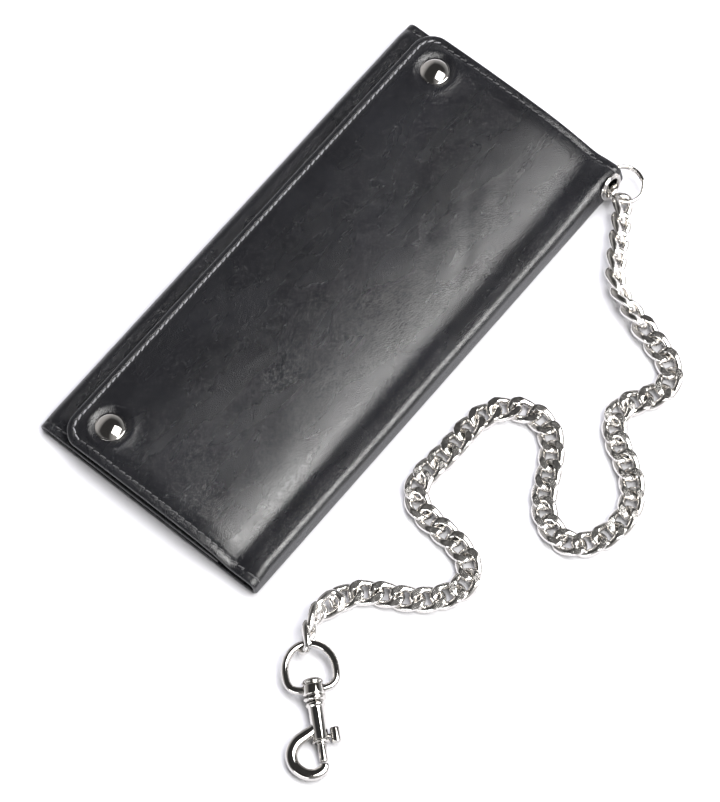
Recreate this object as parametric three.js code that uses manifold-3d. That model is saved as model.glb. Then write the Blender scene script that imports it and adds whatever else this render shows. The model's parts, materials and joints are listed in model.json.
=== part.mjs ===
// Long leather chain wallet: a flap-over wallet with two snaps, a zipped coin pocket, card
// pockets, an eyelet with a split ring, a curb chain and a swivel bolt snap.
// Millimetres, +Z up. The wallet lies on its back cover at z = 0, centred on the origin.
// +X points to the spine and +Y to the end that has the eyelet.

import * as THREE from 'three';
import { mergeVertices } from 'three/addons/utils/BufferGeometryUtils.js';
import Module from 'manifold-3d';

const wasm = await Module();
wasm.setup();

// ---------------------------------------------------------------- driving dimensions

const LENGTH = 190;
const HALF_WIDTH = 45.5;
const LEATHER = 1.5;
const CLEAR = 0.3;

// Body: a back panel folded over at the left edge to make the front panel.
const BODY_HEIGHT = 6.0;
const FOLD_X = BODY_HEIGHT / 2 - HALF_WIDTH;
const MOUTH_X = 29.5;

// Spine: a wall that leans inwards, between two bends.
const FLAP_TOP = 10.5;
const BEND_RADIUS = 2.0;
const LEAN = THREE.MathUtils.degToRad(15);
const WALL_LENGTH = 5.18;
const LOWER_BEND_X = HALF_WIDTH - BEND_RADIUS - LEATHER / 2;
const UPPER_BEND_X = LOWER_BEND_X - WALL_LENGTH * Math.sin(LEAN);
const FOLD_LINE_ANGLE = THREE.MathUtils.degToRad(75);
const FOLD_STRIP = 3.5;

// Flap
const FLAP_EDGE_X = -38.0;
const FLAP_CORNER = 7.5;

// Snaps
const SNAP_X = -25.4;
const SNAP_Y = 83;

// Linings, pockets and zip
const LINING = 0.4;
const DIVIDER_LOW = LEATHER + 0.2;
const POCKET_LOW = DIVIDER_LOW + LINING + 0.2;
const CARD_LEATHER = 0.35;
const CARD_LAYER_STEP = 0.55;
const CARD_SLOT_STEP = 12;
const CARD_ROWS = 3;
const ZIP_X = 24;
const TAPE = 0.35;
const ZIP_HALF_LENGTH = 78;
const ZIP_WINDOW = 5.6;
const TOOTH_PITCH = 3.0;
const TEETH_WIDTH = 4.2;
const SLIDER_Y = 66;

// Eyelet and split ring
const EYELET_Y = 88.3;
const EYELET_FLANGE = 5.0;
const EYELET_HOLE = 3.1;
const EYELET_BARREL = 3.28;
const EYELET_REACH = 1.2;
const RING_RADIUS = 6.3;
const RING_WIRE = 0.48;
const RING_PITCH = 1.15;
const RING_CENTRE = new THREE.Vector3(47.74, 92.42, 4.73);
const RING_DIP = THREE.MathUtils.degToRad(9);

// Chain
const LINK_WIRE = 1.0;
const LINK_HALF_LENGTH = 4.45;
const LINK_HALF_WIDTH = 2.7;
const LINK_STAND = LINK_HALF_WIDTH + LINK_WIRE + 0.1;
const CHAIN_TUBE = 2.5;
const CHAIN_LIE = CHAIN_TUBE + 0.05;

// Swivel clip. Its own frame has x along the clip, away from the ring, and y to the thumb stud.
const CLIP_PLACE = new THREE.Vector3(80.4, -108.7, 3.9);
const CLIP_TURN = Math.atan2(-0.672, 0.741);
const CLIP_DIP = THREE.MathUtils.degToRad(3.8);
const D_WIRE = 1.2;
const D_HALF_WIDTH = 8.1;
const D_DEPTH = 15.6;
const COLLAR_RADIUS = 3.6;
const SHANK_RADIUS = 2.6;
const SHANK_START = 6.6;
const SHANK_END = 17.4;
const BORE_RADIUS = 1.6;
const BOLT_RADIUS = 1.28;
const BOLT_TIP = 23.6;
const STUD_PLACE = 15.4;
const HOOK_THICKNESS = 3.7;

// ---------------------------------------------------------------- materials

function material(name, colour, roughness, metalness) {
  return new THREE.MeshStandardMaterial({ name, color: colour, roughness, metalness });
}

const leather = () => material('black_leather', 0x1b1b1d, 0.5, 0);
const pocketLeather = () => material('pocket_leather', 0x202022, 0.6, 0);
const cloth = () => material('lining_cloth', 0x26262a, 0.9, 0);
const nickel = () => material('nickel', 0xd6d3ce, 0.18, 1);
const darkNickel = () => material('zip_metal', 0xb9b6b0, 0.3, 1);

const wallet = new THREE.Group();

function add(parent, name, geometry, look) {
  const mesh = new THREE.Mesh(geometry, look);
  mesh.name = name;
  parent.add(mesh);
  return mesh;
}

// ---------------------------------------------------------------- solid helpers

function toSolid(geometry) {
  const bare = geometry.clone();
  bare.deleteAttribute('normal');
  bare.deleteAttribute('uv');
  const merged = mergeVertices(bare, 1e-4);
  const mesh = new wasm.Mesh({
    numProp: 3,
    vertProperties: new Float32Array(merged.attributes.position.array),
    triVerts: new Uint32Array(merged.index.array),
  });
  return new wasm.Manifold(mesh);
}

function toGeometry(solid) {
  const mesh = solid.getMesh();
  const geometry = new THREE.BufferGeometry();
  geometry.setAttribute('position', new THREE.BufferAttribute(mesh.vertProperties, 3));
  geometry.setIndex(new THREE.BufferAttribute(mesh.triVerts, 1));
  geometry.computeVertexNormals();
  return geometry;
}

function cutAway(geometry, tools) {
  let solid = toSolid(geometry);
  for (const tool of tools) {
    solid = solid.subtract(toSolid(tool));
  }
  return toGeometry(solid);
}

// A box given by its low and high corners.
function block(low, high) {
  const geometry = new THREE.BoxGeometry(high[0] - low[0], high[1] - low[1], high[2] - low[2]);
  geometry.translate((low[0] + high[0]) / 2, (low[1] + high[1]) / 2, (low[2] + high[2]) / 2);
  return geometry;
}

// An upright cylinder between two heights.
function post(x, y, radius, low, high, sides = 24) {
  const geometry = new THREE.CylinderGeometry(radius, radius, high - low, sides);
  geometry.rotateX(Math.PI / 2);
  geometry.translate(x, y, (low + high) / 2);
  return geometry;
}

// A turned piece about the Z axis, from [radius, height] points.
function turned(profile, sides = 20) {
  const geometry = new THREE.LatheGeometry(profile.map(([r, z]) => new THREE.Vector2(r, z)), sides);
  geometry.rotateX(Math.PI / 2);
  return geometry;
}

// A flat sheet with rounded corners, standing on height z0. The two radii are those of the
// corners at low x and at high x.
function sheet(x0, x1, y0, y1, z0, thickness, lowRadius = 0.8, highRadius = 0.8) {
  const outline = new THREE.Shape();
  outline.moveTo(x0 + lowRadius, y0);
  outline.lineTo(x1 - highRadius, y0);
  outline.absarc(x1 - highRadius, y0 + highRadius, highRadius, -Math.PI / 2, 0, false);
  outline.lineTo(x1, y1 - highRadius);
  outline.absarc(x1 - highRadius, y1 - highRadius, highRadius, 0, Math.PI / 2, false);
  outline.lineTo(x0 + lowRadius, y1);
  outline.absarc(x0 + lowRadius, y1 - lowRadius, lowRadius, Math.PI / 2, Math.PI, false);
  outline.lineTo(x0, y0 + lowRadius);
  outline.absarc(x0 + lowRadius, y0 + lowRadius, lowRadius, Math.PI, Math.PI * 1.5, false);
  const geometry = new THREE.ExtrudeGeometry(outline, {
    depth: thickness, bevelEnabled: false, curveSegments: 4,
  });
  geometry.translate(0, 0, z0);
  return geometry;
}

// A leather strip whose cross-section in X and Z follows a centre line, along the whole length.
function foldedLeather(centreLine, length) {
  const left = [];
  const right = [];
  centreLine.forEach((point, n) => {
    const before = centreLine[Math.max(n - 1, 0)];
    const after = centreLine[Math.min(n + 1, centreLine.length - 1)];
    const along = after.clone().sub(before).normalize();
    const side = new THREE.Vector2(-along.y, along.x).multiplyScalar(LEATHER / 2);
    left.push(point.clone().add(side));
    right.push(point.clone().sub(side));
  });
  const outline = new THREE.Shape([...left, ...right.reverse()]);
  const geometry = new THREE.ExtrudeGeometry(outline, { depth: length, bevelEnabled: false });
  geometry.rotateX(Math.PI / 2);
  geometry.translate(0, length / 2, 0);
  return geometry;
}

function arcPoints(x, z, radius, from, to, steps) {
  const points = [];
  for (let n = 0; n <= steps; n += 1) {
    const angle = from + ((to - from) * n) / steps;
    points.push(new THREE.Vector2(x + radius * Math.cos(angle), z + radius * Math.sin(angle)));
  }
  return points;
}

// A round bar along an open curve, with flat ends.
function bar(curve, radius, steps, sides = 8) {
  const section = new THREE.Shape();
  section.absarc(0, 0, radius, 0, Math.PI * 2, false);
  return new THREE.ExtrudeGeometry(section, {
    steps, extrudePath: curve, curveSegments: sides / 2, bevelEnabled: false,
  });
}

// ---------------------------------------------------------------- leather body and flap

const FLAP_MID = FLAP_TOP - LEATHER / 2;
const UPPER_BEND_Z = FLAP_MID - BEND_RADIUS;
const LOWER_BEND_Z = LEATHER / 2 + BEND_RADIUS;
const FRONT_UNDER = BODY_HEIGHT - LEATHER;

// Middle of the spine wall, where the eyelet sits, and the way that it faces.
const WALL_MID = new THREE.Vector3(
  (LOWER_BEND_X + UPPER_BEND_X) / 2 + BEND_RADIUS * Math.cos(LEAN),
  EYELET_Y,
  (LOWER_BEND_Z + UPPER_BEND_Z) / 2 + BEND_RADIUS * Math.sin(LEAN),
);
const WALL_FACING = new THREE.Vector3(Math.cos(LEAN), 0, Math.sin(LEAN));

// Where the flap's fold starts, on the outer surface of the upper bend.
const FOLD_LINE = new THREE.Vector2(
  UPPER_BEND_X + (BEND_RADIUS + LEATHER / 2) * Math.cos(FOLD_LINE_ANGLE),
  UPPER_BEND_Z + (BEND_RADIUS + LEATHER / 2) * Math.sin(FOLD_LINE_ANGLE),
);
const FLAP_LINE_X = UPPER_BEND_X - FOLD_STRIP;
const FOLD_GAP_ANGLE = CLEAR / 2 / (BEND_RADIUS - LEATHER / 2);

function towardsWall(geometry) {
  const turn = new THREE.Quaternion().setFromUnitVectors(new THREE.Vector3(0, 0, 1), WALL_FACING);
  geometry.applyQuaternion(turn);
  geometry.translate(WALL_MID.x, WALL_MID.y, WALL_MID.z);
  return geometry;
}

function addOuterCover() {
  const foldRadius = (BODY_HEIGHT - LEATHER) / 2;
  const centreLine = [
    new THREE.Vector2(MOUTH_X, BODY_HEIGHT - LEATHER / 2),
    ...arcPoints(FOLD_X, BODY_HEIGHT / 2, foldRadius, Math.PI / 2, Math.PI * 1.5, 8),
    ...arcPoints(LOWER_BEND_X, LOWER_BEND_Z, BEND_RADIUS, -Math.PI / 2, LEAN, 6),
    ...arcPoints(UPPER_BEND_X, UPPER_BEND_Z, BEND_RADIUS, LEAN, FOLD_LINE_ANGLE - FOLD_GAP_ANGLE, 4),
  ];
  const eyeletHole = new THREE.CylinderGeometry(EYELET_BARREL + CLEAR, EYELET_BARREL + CLEAR, 6, 24);
  eyeletHole.rotateX(Math.PI / 2);
  const zipWindow = block(
    [ZIP_X - ZIP_WINDOW / 2, -ZIP_HALF_LENGTH, FRONT_UNDER - 1],
    [ZIP_X + ZIP_WINDOW / 2, ZIP_HALF_LENGTH, BODY_HEIGHT + 1],
  );
  const cuts = [towardsWall(eyeletHole), zipWindow];
  for (const end of [-1, 1]) {
    cuts.push(post(SNAP_X, end * SNAP_Y, 1.7, FRONT_UNDER - 1, BODY_HEIGHT + 1, 16));
  }
  add(wallet, 'outer_cover', cutAway(foldedLeather(centreLine, LENGTH), cuts), leather());
}

function addFoldStrip() {
  const centreLine = [
    ...arcPoints(
      UPPER_BEND_X, UPPER_BEND_Z, BEND_RADIUS, FOLD_LINE_ANGLE + FOLD_GAP_ANGLE, Math.PI / 2, 2,
    ),
    new THREE.Vector2(FLAP_LINE_X + CLEAR / 2, FLAP_MID),
  ];
  add(wallet, 'cover_fold_strip', foldedLeather(centreLine, LENGTH), leather());
}

function addFlap() {
  const outer = sheet(
    FLAP_EDGE_X, FLAP_LINE_X - CLEAR / 2, -LENGTH / 2, LENGTH / 2,
    FLAP_TOP - LEATHER, LEATHER, FLAP_CORNER, 0.2,
  );
  const lining = sheet(
    FLAP_EDGE_X + 0.5, MOUTH_X, -LENGTH / 2 + 0.6, LENGTH / 2 - 0.6,
    FLAP_TOP - LEATHER - 0.25 - LINING, LINING, FLAP_CORNER - 0.5, 0.6,
  );
  const outerHoles = [];
  const liningHoles = [];
  for (const end of [-1, 1]) {
    outerHoles.push(post(SNAP_X, end * SNAP_Y, 1.9, FLAP_TOP - 3, FLAP_TOP + 1, 16));
    liningHoles.push(post(SNAP_X, end * SNAP_Y, 5.1, FLAP_TOP - 5, FLAP_TOP, 24));
  }
  add(wallet, 'flap_cover', cutAway(outer, outerHoles), leather());
  add(wallet, 'flap_lining', cutAway(lining, liningHoles), cloth());
}

// Card pockets are sewn under the flap in two columns, each row a step nearer the free edge.
function addCardPockets() {
  const liningUnder = FLAP_TOP - LEATHER - 0.25 - LINING;
  const columns = { left: [-91, -1.2], right: [1.2, 91] };
  for (const [side, [y0, y1]] of Object.entries(columns)) {
    for (let row = 0; row < CARD_ROWS; row += 1) {
      const top = liningUnder - 0.2 - row * CARD_LAYER_STEP;
      const x0 = -17 + row * CARD_SLOT_STEP;
      add(
        wallet, `card_pocket_${side}_${row + 1}`,
        sheet(x0, 20.5, y0, y1, top - CARD_LEATHER, CARD_LEATHER, 1.2, 0.8), pocketLeather(),
      );
    }
  }
}

function addBillDivider() {
  add(
    wallet, 'bill_divider',
    sheet(FOLD_X + 2.2, MOUTH_X - 1, -LENGTH / 2 + 1.5, LENGTH / 2 - 1.5, DIVIDER_LOW, LINING, 1, 6),
    cloth(),
  );
}

// ---------------------------------------------------------------- zipped coin pocket

function addCoinPocket() {
  add(
    wallet, 'coin_pocket_lining',
    sheet(-14, MOUTH_X - 0.3, -ZIP_HALF_LENGTH - 4, ZIP_HALF_LENGTH + 4, POCKET_LOW, LINING, 5, 1),
    cloth(),
  );
}

function addZip() {
  const tapeTop = FRONT_UNDER - 0.25;
  const tapeLow = tapeTop - TAPE;
  const tapeEnd = ZIP_HALF_LENGTH + 3;
  const tapeInner = TEETH_WIDTH / 2 + 0.75;
  const inside = sheet(ZIP_X - 9, ZIP_X - tapeInner, -tapeEnd, tapeEnd, tapeLow, TAPE, 0.5, 0.2);
  const outside = sheet(ZIP_X + tapeInner, MOUTH_X - 0.4, -tapeEnd, tapeEnd, tapeLow, TAPE, 0.2, 0.5);
  add(wallet, 'zip_tape_inner', inside, cloth());
  add(wallet, 'zip_tape_outer', outside, cloth());

  // The closed teeth, as one row with notches on both sides.
  const count = Math.floor((2 * (ZIP_HALF_LENGTH - 4)) / TOOTH_PITCH);
  const start = -(count * TOOTH_PITCH) / 2;
  const outline = [];
  for (const side of [1, -1]) {
    for (let n = 0; n < count; n += 1) {
      const y = side * (start + n * TOOTH_PITCH);
      const tip = (side * TEETH_WIDTH) / 2;
      const root = tip - side * 0.7;
      outline.push(new THREE.Vector2(tip, y + side * 0.1));
      outline.push(new THREE.Vector2(tip, y + side * TOOTH_PITCH * 0.55));
      outline.push(new THREE.Vector2(root, y + side * TOOTH_PITCH * 0.6));
      outline.push(new THREE.Vector2(root, y + side * TOOTH_PITCH));
    }
  }
  const teeth = new THREE.ExtrudeGeometry(new THREE.Shape(outline), { depth: 1.2, bevelEnabled: false });
  teeth.translate(ZIP_X, 0, tapeLow - 0.2);
  add(wallet, 'zip_teeth', teeth, darkNickel());

  const rowEnd = -start;
  const stopLow = tapeLow - 0.3;
  const topStop = block([ZIP_X - 2, rowEnd + 0.4, stopLow], [ZIP_X + 2, rowEnd + 2.4, stopLow + 1.5]);
  const endStop = block([ZIP_X - 2, -rowEnd - 3.2, stopLow], [ZIP_X + 2, -rowEnd - 0.4, stopLow + 1.5]);
  add(wallet, 'zip_stop_closed_end', topStop, darkNickel());
  add(wallet, 'zip_stop_open_end', endStop, darkNickel());
  return tapeLow;
}

// The slider is two plates joined at its nose, with a bridge on top that holds the pull.
function addSlider(tapeLow) {
  const channelLow = tapeLow - 0.2 - 0.25;
  const channelHigh = channelLow + 1.2 + 0.5;
  const body = new THREE.Group();
  body.position.set(ZIP_X, SLIDER_Y, 0);
  const under = toSolid(block([-2.3, -4, channelLow - 0.45], [2.3, 4, channelLow]));
  const over = toSolid(block([-2.3, -4, channelHigh], [2.3, 4, channelHigh + 0.5]));
  const sideA = toSolid(block([-2.55, -3, channelLow - 0.45], [-2.25, 3, channelHigh + 0.5]));
  const sideB = toSolid(block([2.25, -3, channelLow - 0.45], [2.55, 3, channelHigh + 0.5]));
  const bridge = toSolid(block([-0.6, -3.2, channelHigh + 0.4], [0.6, 3.2, channelHigh + 2.0]));
  const bridgeGap = toSolid(block([-1, -2.3, channelHigh + 0.5], [1, 2.3, channelHigh + 1.6]));
  const whole = under.add(over).add(sideA).add(sideB).add(bridge.subtract(bridgeGap));
  add(body, 'zip_slider', toGeometry(whole), darkNickel());

  // The pull lies back along the row of teeth, with an eye around the bridge's front post.
  const pullLow = BODY_HEIGHT + 0.2;
  const tab = new THREE.Shape();
  tab.moveTo(-1.5, 1.9);
  tab.lineTo(-2.4, -6);
  tab.lineTo(-2.4, -17.5);
  tab.absarc(0, -17.5, 2.4, Math.PI, Math.PI * 2, false);
  tab.lineTo(2.4, -6);
  tab.lineTo(1.5, 1.9);
  const eye = new THREE.Path();
  eye.moveTo(-0.85, 0.95);
  eye.lineTo(0.85, 0.95);
  eye.lineTo(0.95, -3.9);
  eye.lineTo(-0.95, -3.9);
  tab.holes.push(eye);
  const end = new THREE.Path();
  end.absarc(0, -17.5, 1.2, 0, Math.PI * 2, true);
  tab.holes.push(end);
  const pull = new THREE.ExtrudeGeometry(tab, { depth: 0.35, bevelEnabled: false, curveSegments: 8 });
  pull.translate(0, 0, pullLow);
  add(body, 'zip_pull', pull, darkNickel());
  wallet.add(body);
}

// ---------------------------------------------------------------- snaps

// Each snap: a domed cap with its post through the flap, a socket under the flap, a stud on the
// body and the stud's own post from inside the body.
function addSnap(end, number) {
  const snap = new THREE.Group();
  snap.position.set(SNAP_X, end * SNAP_Y, 0);
  const dome = [];
  for (let n = 0; n <= 6; n += 1) {
    const angle = (Math.PI / 2) * (n / 6);
    dome.push([4.75 * Math.cos(angle), FLAP_TOP + 0.95 + 1.35 * Math.sin(angle)]);
  }
  const flapUnder = FLAP_TOP - LEATHER;
  const cap = turned([
    [0, flapUnder - 0.55], [1.5, flapUnder - 0.55], [1.6, FLAP_TOP + 0.3],
    [4.7, FLAP_TOP + 0.3], [5.0, FLAP_TOP + 0.6], ...dome.slice(0, 6), [0, FLAP_TOP + 2.3],
  ]);
  add(snap, `snap_cap_${number}`, cap, nickel());
  const socketTop = flapUnder - 0.3;
  const socket = turned([
    [1.9, socketTop], [1.9, socketTop - 0.5], [2.3, socketTop - 0.7], [2.3, socketTop - 1.7],
    [4.3, socketTop - 1.7], [4.8, socketTop - 1.2], [4.8, socketTop], [1.9, socketTop],
  ]);
  add(snap, `snap_socket_${number}`, socket, nickel());
  const studFoot = BODY_HEIGHT + 0.25;
  const stud = turned([
    [0, studFoot + 0.35], [1.15, studFoot + 0.35], [1.15, studFoot], [4.4, studFoot],
    [4.5, studFoot + 0.3], [2.0, studFoot + 0.5], [1.75, studFoot + 0.8], [1.95, studFoot + 1.4],
    [1.5, studFoot + 1.75], [0, studFoot + 1.75],
  ]);
  add(snap, `snap_stud_${number}`, stud, nickel());
  const postFoot = FRONT_UNDER - 0.25;
  const inner = turned([
    [0, postFoot - 0.5], [3.9, postFoot - 0.5], [4.1, postFoot], [0.85, postFoot],
    [0.85, studFoot + 0.1], [0, studFoot + 0.1],
  ]);
  add(snap, `snap_post_${number}`, inner, nickel());
  wallet.add(snap);
}

// ---------------------------------------------------------------- eyelet and split ring

function addEyelet() {
  const face = LEATHER / 2 + CLEAR;
  const grommet = turned([
    [EYELET_HOLE, -EYELET_REACH], [EYELET_BARREL, -EYELET_REACH], [EYELET_BARREL, face],
    [EYELET_FLANGE - 0.2, face], [EYELET_FLANGE, face + 0.3], [EYELET_FLANGE - 0.5, face + 0.8],
    [4.0, face + 0.95], [3.4, face + 0.8], [EYELET_HOLE, face + 0.4], [EYELET_HOLE, -EYELET_REACH],
  ], 32);
  add(wallet, 'eyelet', towardsWall(grommet), nickel());
  const washer = turned([
    [EYELET_HOLE, -1.6], [3.5, -1.6], [3.5, -1.35], [EYELET_HOLE, -1.35], [EYELET_HOLE, -1.6],
  ], 28);
  add(wallet, 'eyelet_washer', towardsWall(washer), nickel());
}

// Two turns of round wire, one on the other, through the eyelet and out at the spine's open end.
// The wire climbs from the lower turn to the upper one over a short stretch.
class CoilCurve extends THREE.Curve {
  getPoint(t, target = new THREE.Vector3()) {
    const turns = t * 1.9;
    const angle = turns * Math.PI * 2 + Math.PI * 0.3;
    const climb = THREE.MathUtils.smoothstep(turns, 0.9, 1.0);
    const rise = (climb - 0.5) * RING_PITCH;
    return target.set(RING_RADIUS * Math.cos(angle), RING_RADIUS * Math.sin(angle), rise);
  }
}

function addSplitRing() {
  const mesh = add(wallet, 'split_ring', bar(new CoilCurve(), RING_WIRE, 72, 8), nickel());
  mesh.position.copy(RING_CENTRE);
  mesh.rotation.y = RING_DIP;
}

// ---------------------------------------------------------------- chain

// An oval link: a round wire ring pulled out along X, lying flat.
function linkGeometry() {
  const geometry = new THREE.TorusGeometry(LINK_HALF_WIDTH, LINK_WIRE, 8, 20);
  const place = geometry.attributes.position;
  const stretch = LINK_HALF_LENGTH - LINK_HALF_WIDTH;
  for (let n = 0; n < place.count; n += 1) {
    const x = place.getX(n);
    const side = Math.abs(x) < 1e-6 ? 0 : Math.sign(x);
    place.setX(n, x + side * stretch);
  }
  return geometry;
}

function addEndLink(name, x, y, heading) {
  const geometry = linkGeometry();
  geometry.rotateX(Math.PI / 2);
  geometry.rotateZ(heading);
  geometry.translate(x, y, LINK_STAND);
  add(wallet, name, geometry, nickel());
}

// The chain's route on the table, from the split ring to the clip.
const ROUTE = [
  [55.95, 80.15, LINK_STAND], [59.2, 74.8, LINK_STAND], [62.8, 69.0, LINK_STAND],
  [67.0, 63.6, 3.4], [72.0, 60.4, 2.8], [78.0, 58.2, CHAIN_LIE], [84.5, 56.1, CHAIN_LIE],
  [91.0, 54.2, CHAIN_LIE], [97.0, 52.0, CHAIN_LIE], [101.2, 48.6, CHAIN_LIE],
  [102.3, 43.0, CHAIN_LIE], [99.9, 37.0, CHAIN_LIE], [96.6, 31.4, CHAIN_LIE],
  [96.4, 25.7, CHAIN_LIE], [100.4, 20.4, CHAIN_LIE], [106.0, 16.7, CHAIN_LIE],
  [111.6, 13.2, CHAIN_LIE], [116.2, 9.0, CHAIN_LIE], [119.2, 3.8, CHAIN_LIE],
  [120.2, -2.2, CHAIN_LIE], [119.2, -8.4, CHAIN_LIE], [117.0, -13.6, CHAIN_LIE],
  [113.4, -17.4, CHAIN_LIE], [108.2, -18.6, CHAIN_LIE], [102.2, -17.0, CHAIN_LIE],
  [97.4, -13.2, CHAIN_LIE], [93.9, -7.9, CHAIN_LIE], [91.0, -2.2, CHAIN_LIE],
  [87.6, 3.4, CHAIN_LIE], [83.3, 7.7, CHAIN_LIE], [77.9, 9.6, CHAIN_LIE],
  [72.0, 8.6, CHAIN_LIE], [66.8, 5.2, CHAIN_LIE], [63.4, 0.0, CHAIN_LIE],
  [62.1, -6.3, CHAIN_LIE], [62.0, -12.8, CHAIN_LIE], [61.8, -19.2, CHAIN_LIE],
  [61.3, -25.3, CHAIN_LIE], [61.2, -31.3, CHAIN_LIE], [63.4, -36.3, CHAIN_LIE],
  [67.8, -39.2, CHAIN_LIE], [73.0, -40.2, CHAIN_LIE], [78.8, -40.7, CHAIN_LIE],
  [84.4, -41.4, CHAIN_LIE], [89.4, -43.0, CHAIN_LIE], [93.3, -46.4, CHAIN_LIE],
  [94.5, -51.6, CHAIN_LIE], [92.2, -57.6, CHAIN_LIE], [88.0, -62.6, CHAIN_LIE],
  [82.8, -66.3, CHAIN_LIE], [77.2, -69.2, CHAIN_LIE], [72.2, -72.4, CHAIN_LIE],
  [68.6, -76.6, CHAIN_LIE], [66.6, -81.6, 2.8], [65.7, -86.4, 3.4], [65.45, -91.0, LINK_STAND],
];

function addChain() {
  addEndLink('chain_first_link', 52.6, 85.1, Math.atan2(-0.835, 0.55));
  addEndLink('chain_last_link', 67.9, -96.5, Math.atan2(-0.89, 0.45));
  const curve = new THREE.CatmullRomCurve3(
    ROUTE.map(([x, y, z]) => new THREE.Vector3(x, y, z)), false, 'centripetal',
  );
  add(wallet, 'chain', bar(curve, CHAIN_TUBE, 80, 8), nickel());
}

// ---------------------------------------------------------------- swivel clip

const clip = new THREE.Group();
clip.position.copy(CLIP_PLACE);
clip.rotation.z = CLIP_TURN;
const snapHook = new THREE.Group();
snapHook.rotation.y = CLIP_DIP;
clip.add(snapHook);
wallet.add(clip);

// Turns a piece made about Z so that its axis is the clip's X.
function alongClip(geometry) {
  geometry.rotateY(Math.PI / 2);
  return geometry;
}

function addDRing() {
  const corner = 1.9;
  const outline = [];
  const barEnd = D_HALF_WIDTH - corner;
  outline.push([0, -barEnd * 0.5], [0, 0], [0, barEnd * 0.5]);
  for (let n = 0; n <= 3; n += 1) {
    const angle = (Math.PI / 2) * (n / 3);
    outline.push([-corner + corner * Math.cos(angle), barEnd + corner * Math.sin(angle)]);
  }
  const centre = -(D_DEPTH - D_HALF_WIDTH);
  for (let n = 0; n <= 12; n += 1) {
    const angle = Math.PI / 2 + Math.PI * (n / 12);
    outline.push([centre + D_HALF_WIDTH * Math.cos(angle), D_HALF_WIDTH * Math.sin(angle)]);
  }
  for (let n = 0; n <= 3; n += 1) {
    const angle = Math.PI * 1.5 + (Math.PI / 2) * (n / 3);
    outline.push([-corner + corner * Math.cos(angle), -barEnd + corner * Math.sin(angle)]);
  }
  const curve = new THREE.CatmullRomCurve3(
    outline.map(([x, y]) => new THREE.Vector3(x, y, 0)), true, 'centripetal',
  );
  add(clip, 'd_ring', new THREE.TubeGeometry(curve, 52, D_WIRE, 8, true), nickel());
}

function addSwivelCollar() {
  const profile = [
    [0, -3.5], [2.3, -3.5], [2.9, -3.1], [3.0, -2.2], [COLLAR_RADIUS - 0.3, -1.2],
    [COLLAR_RADIUS, 0.4], [COLLAR_RADIUS, 2.6], [COLLAR_RADIUS - 0.3, 3.6], [2.9, 4.0],
    [1.55, 4.0], [1.55, 3.6], [2.2, 3.6], [2.2, 2.1], [0, 2.1],
  ];
  const barHole = new THREE.CylinderGeometry(D_WIRE + CLEAR, D_WIRE + CLEAR, 10, 20);
  const collar = cutAway(alongClip(turned(profile, 24)), [barHole]);
  add(snapHook, 'swivel_collar', collar, nickel());
}

function addHookBody() {
  const shank = toSolid(alongClip(turned([
    [0, 2.4], [1.85, 2.4], [1.85, 3.3], [1.2, 3.3], [1.2, 4.3], [2.7, 4.3], [3.15, 4.9],
    [3.15, 5.5], [2.6, 6.1], [SHANK_RADIUS, SHANK_START], [SHANK_RADIUS, SHANK_END - 0.4],
    [SHANK_RADIUS - 0.3, SHANK_END], [0, SHANK_END],
  ], 24)));
  const outline = new THREE.Shape();
  outline.moveTo(10.2, -1.6);
  outline.bezierCurveTo(12.8, -4.6, 13.4, -10.0, 17.8, -11.4);
  outline.bezierCurveTo(22.6, -12.9, 28.0, -10.6, 29.4, -6.6);
  outline.bezierCurveTo(30.4, -3.6, 29.2, 1.9, 25.2, 1.9);
  outline.lineTo(23.9, 1.9);
  outline.lineTo(23.9, -1.9);
  outline.bezierCurveTo(25.0, -2.2, 25.9, -3.4, 25.7, -5.0);
  outline.bezierCurveTo(25.4, -7.4, 22.4, -8.5, 20.0, -8.0);
  outline.bezierCurveTo(17.4, -7.4, 16.2, -5.0, 16.4, -1.6);
  outline.lineTo(10.2, -1.6);
  const bevel = 1.0;
  const hook = new THREE.ExtrudeGeometry(outline, {
    depth: HOOK_THICKNESS - 2 * bevel, bevelEnabled: true, bevelThickness: bevel,
    bevelSize: bevel * 0.9, bevelOffset: -bevel * 0.9, bevelSegments: 2, curveSegments: 8,
  });
  hook.translate(0, 0, -HOOK_THICKNESS / 2 + bevel);
  const bore = alongClip(post(0, 0, BORE_RADIUS, 8.2, SHANK_END + 1, 20));
  const slot = block([10.4, 0, -1.0], [STUD_PLACE + 1.2, 4, 1.0]);
  const tipCut = block([SHANK_END - 0.05, -1.95, -3], [23.88, 4, 3]);
  const body = shank.add(toSolid(hook)).subtract(toSolid(bore)).subtract(toSolid(slot));
  add(snapHook, 'hook_body', toGeometry(body.subtract(toSolid(tipCut))), nickel());
}

function addBolt() {
  const rod = toSolid(alongClip(turned([
    [0, 13.6], [BOLT_RADIUS, 13.6], [BOLT_RADIUS, BOLT_TIP - 0.3],
    [BOLT_RADIUS - 0.3, BOLT_TIP], [0, BOLT_TIP],
  ], 20)));
  const seat = new THREE.CylinderGeometry(0.75, 0.75, 1.6, 12);
  seat.translate(STUD_PLACE, 1.3, 0);
  add(snapHook, 'bolt', toGeometry(rod.subtract(toSolid(seat))), nickel());

  const stalk = new THREE.CylinderGeometry(0.6, 0.6, 3.2, 12);
  stalk.translate(STUD_PLACE, 2.35, 0);
  const knob = alongClip(turned([
    [0, -2.3], [1.3, -2.3], [1.6, -1.9], [1.6, 1.9], [1.3, 2.3], [0, 2.3],
  ], 20));
  knob.translate(STUD_PLACE, 4.85, 0);
  const stud = toSolid(stalk).add(toSolid(knob));
  add(snapHook, 'thumb_stud', toGeometry(stud), nickel());
}

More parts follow.
